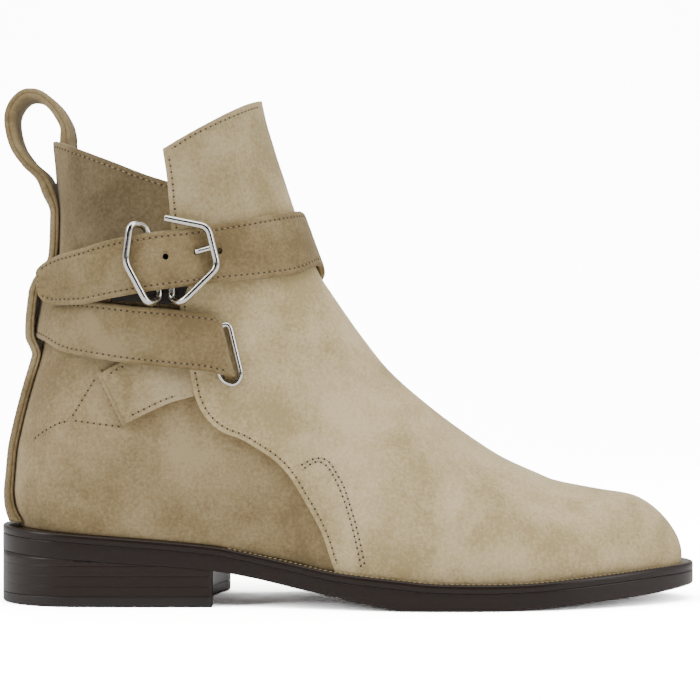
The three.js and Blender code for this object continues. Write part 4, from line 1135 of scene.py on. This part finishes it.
def stay_path():
    """Middle line of stay and pull loop: place in x and z, width, thickness, and how closely it
    follows the heel's round."""
    up = np.linspace(STAY["up"][0], STAY["up"][-1], 40)
    z = SEAT_HEIGHT + up * SHAFT_HEIGHT
    bulge = LOOP_ROOM * curve(STAY["up"], STAY["bulge"])(up)
    x = back_at(z) - (1.5 * CLEARANCE + STAY_THICKNESS / 2 + bulge)
    width = curve(STAY["up"], STAY["width"])(up)
    ones = np.ones_like(up)
    stay = np.stack([x, z, width, ones * STAY_THICKNESS, ones], axis=1)
    spine = float(back_at(np.array(COLLAR_BACK_Z)))
    ones = np.ones_like(LOOP["out"])
    loop = np.stack([
        spine - LOOP["out"] * LOOP_REACH, COLLAR_BACK_Z + LOOP["up"] * LOOP_HEIGHT,
        ones * STAY_WIDTH, ones * PULL_THICKNESS, LOOP["hug"],
    ], axis=1)
    tag_z = SEAT_HEIGHT + np.array([0.86, 0.82]) * SHAFT_HEIGHT
    ones = np.ones_like(tag_z)
    tag = np.stack([
        back_at(tag_z) + TAG_IN, tag_z, ones * STAY_WIDTH, ones * PULL_THICKNESS, ones,
    ], axis=1)
    rows = np.concatenate([stay, loop, tag])
    length = line_length(rows[:, :2])
    at = np.linspace(0, length[-1], 320)
    smoothly = [curve(length, column, soft=order < 2)(at) for order, column in enumerate(rows.T)]
    return np.stack(smoothly, axis=1)


def back_draw(y, z):
    """How far the skin's back has drawn forward at a distance from the seam."""
    up = shaft_up(z)
    return level_back(up) * (1 - np.sqrt(1 - np.clip(y / level_width(up), -0.99, 0.99) ** 2))


stay_line = stay_path()
stay_tangent = unit(np.gradient(stay_line[:, :2], axis=0))
stay_outward = np.stack([-stay_tangent[:, 1], stay_tangent[:, 0]], axis=1)
stay_level = np.minimum(stay_line[:, 1], COLLAR_BACK_Z)


def stay_place(at, across, depth):
    """Points of the stay by station, distance across and depth from its inner face."""
    row = stay_line[at]
    y = across - row[..., 2] / 2
    out = depth - row[..., 3] / 2
    x = row[..., 0] + stay_outward[at][..., 0] * out + row[..., 4] * back_draw(y, stay_level[at])
    return np.stack([x, y, row[..., 1] + stay_outward[at][..., 1] * out], axis=-1)


def make_stay():
    bm = strip(stay_place, stay_line[:, 2], stay_line[:, 3])
    piece("back_stay", bm, STRAP_SUEDE, "back_stay", "back_stay")


make_stay()


# Anchor tab

TAB_LOW = soft_line(side_place([-0.3115, -0.2726, -0.253, -0.2165], [0.243, 0.273, 0.287, 0.304]))
TAB_HIGH = soft_line(side_place([-0.3459, -0.317, -0.27, -0.2165], [0.357, 0.384, 0.39, 0.39]))
TAB_UNDER_VAMP = 6


def make_tab():
    """The short strap that comes out of the slit and runs forward, thinned where it goes under
    the vamp's edge."""
    share = np.linspace(0, 1, 40)
    places = mix(TAB_LOW[:, None], TAB_HIGH[:, None], share[None, :, None])
    edge_x = np.interp(places[..., 1], vamp_edge[::-1, 1], vamp_edge[::-1, 0])
    thin = smooth((places[..., 0] - edge_x + TAB_UNDER_VAMP) / TAB_UNDER_VAMP)
    thick = mix(TAB_WALL, OVERLAY_OUT - 3 * CLEARANCE, thin)
    base = skin(places, LATERAL)
    outer = base + (skin(places, LATERAL, 1) - base) * (CLEARANCE + thick)[..., None]
    bm = shell(outer, skin(places, LATERAL, 0.2), EDGE_ROUND)
    piece("anchor_tab", bm, TAB_SUEDE, "anchor_tab", "anchor_tab")


make_tab()


# Hardware

WIRE_SIDES = 24
# A cut end of wire: nearly square, its rim rounded off
WIRE_END_REACH = (0.05, 0.1, 0.13, 0.14)
WIRE_END_SIZE = (0.49, 0.45, 0.36, 0.0)


def bent(corners, radius, closed):
    """A path through corners with each bend rounded."""
    points = []
    count = len(corners)
    for at, corner in enumerate(corners):
        if not closed and at in (0, count - 1):
            points.append(corner)
            continue
        ends = []
        for other in (corners[at - 1], corners[(at + 1) % count]):
            gap = np.linalg.norm(other - corner)
            ends.append(corner + (other - corner) * min(radius, 0.45 * gap) / gap)
        for t in np.linspace(0, 1, 9):
            points.append((1 - t) ** 2 * ends[0] + 2 * t * (1 - t) * corner + t**2 * ends[1])
    return np.array(points)


def wire(path, diameter, closed):
    """Round wire along a path, cut nearly square where it is open."""
    if closed:
        tangent = unit(np.roll(path, -1, axis=0) - np.roll(path, 1, axis=0))
    else:
        tangent = unit(np.gradient(path, axis=0))
    radii = np.full(len(path), diameter / 2)
    if not closed:
        for end, step in ((0, -1), (-1, 1)):
            tip, along = path[end], tangent[end]
            cap = [tip + along * step * diameter * reach for reach in WIRE_END_REACH]
            size = [diameter * share for share in WIRE_END_SIZE]
            order = slice(None, None, step)
            count = len(cap)
            if end == 0:
                path = np.concatenate([cap[order], path])
                tangent = np.concatenate([[along] * count, tangent])
                radii = np.concatenate([size[order], radii])
            else:
                path = np.concatenate([path, cap])
                tangent = np.concatenate([tangent, [along] * count])
                radii = np.concatenate([radii, size])
    across = np.array([0.0, 1.0, 0.0])
    rings = []
    for point, along, radius in zip(path, tangent, radii):
        across = unit(across - along * np.dot(across, along))
        other = np.cross(along, across)
        angles = np.linspace(0, 2 * math.pi, WIRE_SIDES + 1)[:, None]
        rings.append(point + radius * (np.cos(angles) * across + np.sin(angles) * other))
    if closed:
        rings.append(rings[0])
    return grid_mesh(np.array(rings))


def wire_corners(rows, lowest, rise):
    rows = np.array(rows)
    places = side_place(rows[:, 0], rows[:, 1])
    return [
        skin(place[None], LATERAL, lowest + share * rise)[0]
        for place, share in zip(places, rows[:, 2])
    ]


FRAME_WIRE = [(-0.2533, 0.714, 0.68), (-0.2015, 0.6915, 0.84), (-0.1868, 0.598, 0.8),
              (-0.2303, 0.5205, 1), (-0.2463, 0.524, 0), (-0.2465, 0.6, 0), (-0.2463, 0.675, 0)]
PRONG_WIRE_ROWS = [(-0.1965, 0.6435, 0.78), (-0.2057, 0.6391, 0.83), (-0.2134, 0.6357, 0.7)]
KEEPER_WIRE = [(-0.2974, 0.702, 0.95), (-0.3038, 0.6137, 1.05), (-0.2779, 0.5175, 1.03),
               (-0.263, 0.527, 0), (-0.2665, 0.6, 0), (-0.282, 0.698, 0)]
RING_ROWS = [(-0.1685, 0.473, 0), (-0.1507, 0.351, 0), (-0.1593, 0.3285, 0),
             (-0.177, 0.3405, 0), (-0.1865, 0.4, 0), (-0.1865, 0.46, 0)]


# Each wire: corners along, up and out as a share of its rise, where the rise starts, the rise, the
# reach of its bends, its diameter, and whether it is closed
HARDWARE = {
    "buckle_frame": (FRAME_WIRE, BAR_OUT, PASSING, 3, WIRE, False),
    "buckle_prong": (PRONG_WIRE_ROWS, BAR_OUT, PASSING, 2, PRONG_WIRE, False),
    "keeper_ring": (KEEPER_WIRE, BAR_OUT, PASSING, 3, WIRE, True),
    "vamp_ring": (RING_ROWS, RING_OUT, 0, 3, RING_WIRE, True),
}


def make_hardware():
    for name, (rows, lowest, rise, reach, diameter, closed) in HARDWARE.items():
        path = bent(wire_corners(rows, lowest, rise), reach, closed)
        piece(name, wire(path, diameter, closed), NICKEL, name, name)


make_hardware()

# Chape: the short dark strap under the tail, which carries the hidden bars of frame and keeper


def make_chape():
    low = soft_line(side_place([-0.33, -0.3, -0.27, -0.2352], [0.522, 0.522, 0.518, 0.513]), 50)
    high = soft_line(side_place([-0.33, -0.3, -0.25, -0.214], [0.658, 0.66, 0.656, 0.655]), 50)
    share = np.linspace(0, 1, 24)
    places = mix(low[:, None], high[:, None], share[None, :, None])
    bulge = 4 * share * (1 - share) * (0.559 - 0.55) * SHAFT_HEIGHT
    places[..., 0] += bulge[None, :] * np.linspace(0, 1, 50)[:, None]
    outer = skin(places, LATERAL, CHAPE_UNDER + CHAPE_WALL)
    bm = shell(outer, skin(places, LATERAL, CHAPE_UNDER), THIN_EDGE_ROUND)
    piece("buckle_chape", bm, CHAPE_LEATHER, "buckle_chape", "buckle_chape")


make_chape()

# Seams: each stitch is a short low-poly bead of thread sunk between two dark needle holes

STITCH_STEP = 2.3
NEEDLE_HOLE = (0.425, 0.425, 0.12)
EDGE_SEAM = 1.9


def on_skin(line, side, out):
    """A line in side view as points on the skin at a distance, and the way out from each."""
    points = skin(line, side, out)
    return points, unit(skin(line, side, out + 1) - points)


def bead(bm, spot, along, way, size):
    """A low-poly ellipsoid that lies along a seam, by its half sizes."""
    scale = Matrix.Diagonal([part * METRE for part in size] + [1])
    bmesh.ops.create_uvsphere(bm, u_segments=6, v_segments=4, radius=1,
                              matrix=axes_at(spot, along, way) @ scale)


def sew(name, rows, thread_finish, slot, step=STITCH_STEP, length=1.25, thick=0.5, holes=True):
    """Stitches along rows of points on surfaces, each row given with the way out from it."""
    beads = bmesh.new()
    pricks = bmesh.new()
    for points, outward in rows:
        run = line_length(points)[-1]
        count = max(2, int(round(run / step)))
        at = (np.arange(count) + 0.5) * run / count
        spots = at_lengths(points, at)
        ways = unit(at_lengths(points, at, outward))
        ahead = unit(np.gradient(spots, axis=0))
        for order, (spot, along, way) in enumerate(zip(spots, ahead, ways)):
            jitter = 1 + random.uniform(-0.08, 0.08)
            bead(beads, spot, along, way, (length / 2 * jitter, thick / 2, thick * 0.36))
            if holes and order:
                bead(pricks, (spot + spots[order - 1]) / 2, along, way, NEEDLE_HOLE)
    piece(name, beads, thread_finish, slot)
    if holes:
        piece(name + "_pricks", pricks, NEEDLE_SHADE, slot)
    else:
        pricks.free()


def both_sides(line, out):
    return [on_skin(line, LATERAL, out), on_skin(line, MEDIAL, out)]


# Seam lines in side view, in mm along and up

PATCH_OUTER = np.array([
    (-19.7, 52.8), (-17.4, 53.8), (-15.4, 54.9), (-12.8, 55.9), (-9.7, 55.9), (-6.6, 53.8),
    (-4.9, 50.9), (-2.4, 47.2), (0.5, 40), (3.5, 30.5), (5.8, 20.4), (6.7, 15.5),
])
PATCH_INNER = np.array([
    (-18.3, 51.3), (-16, 52.8), (-13.9, 54.2), (-11.6, 54.8), (-9.5, 54.1), (-7.4, 52.1),
    (-4.3, 47), (-2.2, 42.8), (-0.4, 38.1), (2.4, 28.8), (4.7, 18.5), (5.5, 14.5),
])
SLIT = np.array([(-94.0, 89.3), (-84.0, 68.9)])
TRIANGLE = np.array([(-95.3, 87.4), (-105.5, 70.6), (-84.7, 67.9)])
FAINT_ROW = np.array([
    (-105.8, 70.4), (-110.5, 69.2), (-114.1, 67.3), (-118, 64.9), (-121.2, 62.3),
])


def make_upper_seams():
    lifted = 0.1
    edge_row = part_of(moved_aside(vamp_edge, EDGE_SEAM), 0.012, 0.99)
    flap_row = part_of(moved_aside(flap_top, -EDGE_SEAM), 0.05, 0.93)
    sew("vamp_seams", both_sides(edge_row, OVERLAY_OUT + lifted)
        + both_sides(flap_row, OVERLAY_OUT + lifted), TONAL_THREAD, "vamp", length=1.1)
    patch = [soft_line(PATCH_OUTER), soft_line(PATCH_INNER)]
    rows = [row for line in patch for row in both_sides(line, OVERLAY_OUT + lifted)]
    sew("vamp_patch_seams", rows, GREY_THREAD, "vamp", length=1.2)
    x = np.linspace(-113.5, -64, 120)
    collar_row = np.stack([x, collar_line(x)], axis=1)
    collar_row = moved_aside(collar_row, -EDGE_SEAM)
    sew("collar_seam", both_sides(collar_row, lifted), TONAL_THREAD, "quarters")
    slit_row = spaced(moved_aside(SLIT, -1.6), 30)
    corners = [spaced(TRIANGLE[:2], 30), spaced(TRIANGLE[1:], 30), slit_row, soft_line(FAINT_ROW)]
    rows = [on_skin(line, LATERAL, lifted) for line in corners]
    sew("quarter_seams", rows, TONAL_THREAD, "quarters", length=1.15, thick=0.42)


def along_strip(place, stations, across, depth):
    """A row along a strip, and the way out from it."""
    points = place(stations, across, depth)
    return points, unit(place(stations, across, depth + 1) - points)


STRAP_SEAM = 2.05


def make_strap_seams():
    stations = np.arange(4, len(strap_stations) - 12)
    width = (strap_high(strap_stations) - strap_low(strap_stations))[stations]
    depth = np.full(len(stations), STRAP_THICKNESS - 0.1)
    low = along_strip(strap_place, stations, np.full(len(stations), STRAP_SEAM), depth)
    high = along_strip(strap_place, stations, width - STRAP_SEAM, depth)
    last = np.full(24, len(strap_stations) - 12)
    across = np.linspace(STRAP_SEAM, width[-1] - STRAP_SEAM, 24)
    tip = along_strip(strap_place, last, across, np.full(24, STRAP_THICKNESS + 0.02))
    sew("strap_seams", [low, high, tip], TONAL_THREAD, "wrap_strap")
    stations = np.arange(3, len(stay_line) - 2)
    width, thick = stay_line[stations, 2], stay_line[stations, 3]
    rows = [
        along_strip(stay_place, stations, across, thick - 0.1)
        for across in (STRAP_SEAM + 0 * width, width - STRAP_SEAM)
    ]
    sew("stay_seams", rows, TONAL_THREAD, "back_stay")
    tab_row = on_skin(part_of(moved_aside(TAB_LOW, EDGE_SEAM), 0.06, 0.8), LATERAL,
                      CLEARANCE + TAB_WALL + 0.05)
    upper_row = on_skin(part_of(moved_aside(TAB_HIGH, -EDGE_SEAM), 0.03, 0.3), LATERAL,
                        CLEARANCE + TAB_WALL + 0.05)
    sew("tab_seams", [tab_row, upper_row], TONAL_THREAD, "anchor_tab")


def make_slit():
    """The lip of the slit in the lateral quarter, which the tab comes out of."""
    line = spaced(SLIT, 40)
    share = np.linspace(0, 1, 40)
    rise = np.sin(share * math.pi) ** 0.35
    rows = []
    for aside, out in ((-1.5, 0.02), (-1.1, 0.6), (-0.6, 1.0), (0.0, 1.1), (0.45, 0.9),
                       (0.6, 0.4), (0.6, -0.2)):
        moved = moved_aside(line, aside)
        base, way = on_skin(moved, LATERAL, 0)
        rows.append(base + way * (out * rise)[:, None])
    bm = grid_mesh(np.stack(rows, axis=1), closed=False)
    bmesh.ops.recalc_face_normals(bm, faces=bm.faces)
    bmesh.ops.solidify(bm, geom=bm.faces, thickness=0.3 * METRE)
    bmesh.ops.recalc_face_normals(bm, faces=bm.faces)
    piece("slit_lip", bm, QUARTER_SUEDE, "quarters")


WELT_STITCH_STEP = 2.0
WELT_SEAM_IN = 1.5
WELT_SEAM_FROM = -46


def make_welt_seam():
    """Tan stitches on the welt's top, from the waist round the forefoot."""
    share = np.linspace(0, 1, 400)
    end = HALF_LENGTH - WELT_SEAM_IN
    x = mix(WELT_SEAM_FROM, end, np.sin(share * math.pi / 2))
    lateral = middle(x) - outline(x, np.full_like(x, LATERAL), WELT_SEAM_IN, -end, end)
    medial = middle(x) + outline(x, np.full_like(x, MEDIAL), WELT_SEAM_IN, -end, end)
    y = np.concatenate([lateral, medial[::-1][1:]])
    x = np.concatenate([x, x[::-1][1:]])
    points = np.stack([x, y, bed(x) + 0.12], axis=1)
    outward = np.zeros_like(points)
    outward[:, 2] = 1
    sew("welt_seam", [(points, outward)], WELT_THREAD, "welt", WELT_STITCH_STEP, 1.6, 0.6, False)


make_upper_seams()
make_strap_seams()
make_slit()
make_welt_seam()

# Stage: a white sweep and soft light

# The photograph's paper is burnt out to white: the camera sees it this many times brighter
PAPER_OVEREXPOSED = 11.0
# The sweep's floor, bend and wall, in metres
SWEEP_NEAR = -2
SWEEP_BEND = 1.2
SWEEP_RADIUS = 0.8
SWEEP_TOP = 4
SWEEP_HALF = 3


def make_stage():
    paper, tree, shader = material("white paper sweep")
    seen = node(tree, "ShaderNodeLightPath").outputs["Is Camera Ray"]
    white = node(tree, "ShaderNodeMapRange", i0=seen, i3=0.9, i4=PAPER_OVEREXPOSED).outputs[0]
    diffuse = node(tree, "ShaderNodeBsdfDiffuse", Color=white)
    output = tree.nodes["Material Output"]
    tree.links.new(diffuse.outputs[0], output.inputs["Surface"])
    tree.nodes.remove(shader)
    bend = np.linspace(0.1, 1, 12) * math.pi / 2
    y = np.concatenate([
        np.linspace(SWEEP_NEAR, SWEEP_BEND, 20), SWEEP_BEND + SWEEP_RADIUS * np.sin(bend),
        np.full(6, SWEEP_BEND + SWEEP_RADIUS),
    ])
    z = np.concatenate([
        np.zeros(20), SWEEP_RADIUS * (1 - np.cos(bend)), np.linspace(1, SWEEP_TOP, 6),
    ])
    x = np.linspace(-SWEEP_HALF, SWEEP_HALF, 9)[None, :]
    points = np.stack(np.broadcast_arrays(x, y[:, None], z[:, None]), axis=-1) / METRE
    mesh = bpy.data.meshes.new("sweep")
    bm = grid_mesh(points, closed=False)
    bm.to_mesh(mesh)
    bm.free()
    mesh.shade_smooth()
    mesh.materials.append(paper)
    sweep = bpy.data.objects.new("sweep", mesh)
    bpy.context.scene.collection.objects.link(sweep)


def softbox(name, place, target, size, power):
    data = bpy.data.lights.new(name, "AREA")
    data.shape = "RECTANGLE"
    data.size, data.size_y = size
    data.energy = power
    lamp = bpy.data.objects.new(name, data)
    lamp.location = place
    aim = Vector(target) - Vector(place)
    lamp.rotation_euler = aim.to_track_quat("-Z", "Y").to_euler()
    bpy.context.scene.collection.objects.link(lamp)


def make_light():
    """Soft light from above and all round, but for a dark studio behind the camera."""
    world = bpy.data.worlds.new("studio")
    world.use_nodes = True
    tree = world.node_tree
    way = node(tree, "ShaderNodeTexCoord").outputs["Generated"]
    parts = node(tree, "ShaderNodeSeparateXYZ", Vector=way).outputs
    front = node(tree, "ShaderNodeMapRange", {"interpolation_type": "SMOOTHSTEP"}, i0=parts[1],
                 i1=-0.7, i2=-0.15, i3=0.02, i4=0.9).outputs[0]
    background = tree.nodes["Background"]
    background.inputs["Color"].default_value = (1, 1, 1, 1)
    seen = node(tree, "ShaderNodeLightPath").outputs["Is Camera Ray"]
    strength = node(tree, "ShaderNodeMath", {"operation": "MULTIPLY_ADD"}, i0=seen,
                    i1=PAPER_OVEREXPOSED, i2=front).outputs[0]
    tree.links.new(strength, background.inputs["Strength"])
    bpy.context.scene.world = world
    softbox("top softbox", (0.1, -0.5, 1.3), (0, 0, 0.05), (1.6, 1.0), 14)
    softbox("left softbox", (-1.3, -0.75, 0.9), (0, 0, 0.08), (0.6, 1.0), 13)
    softbox("backdrop softbox", (0, 1.3, 1.9), (0, 1.9, 0.4), (1.8, 0.5), 16)
    softbox("right softbox", (1.3, -0.75, 0.7), (0, 0, 0.08), (0.6, 1.0), 10)


make_stage()
make_light()
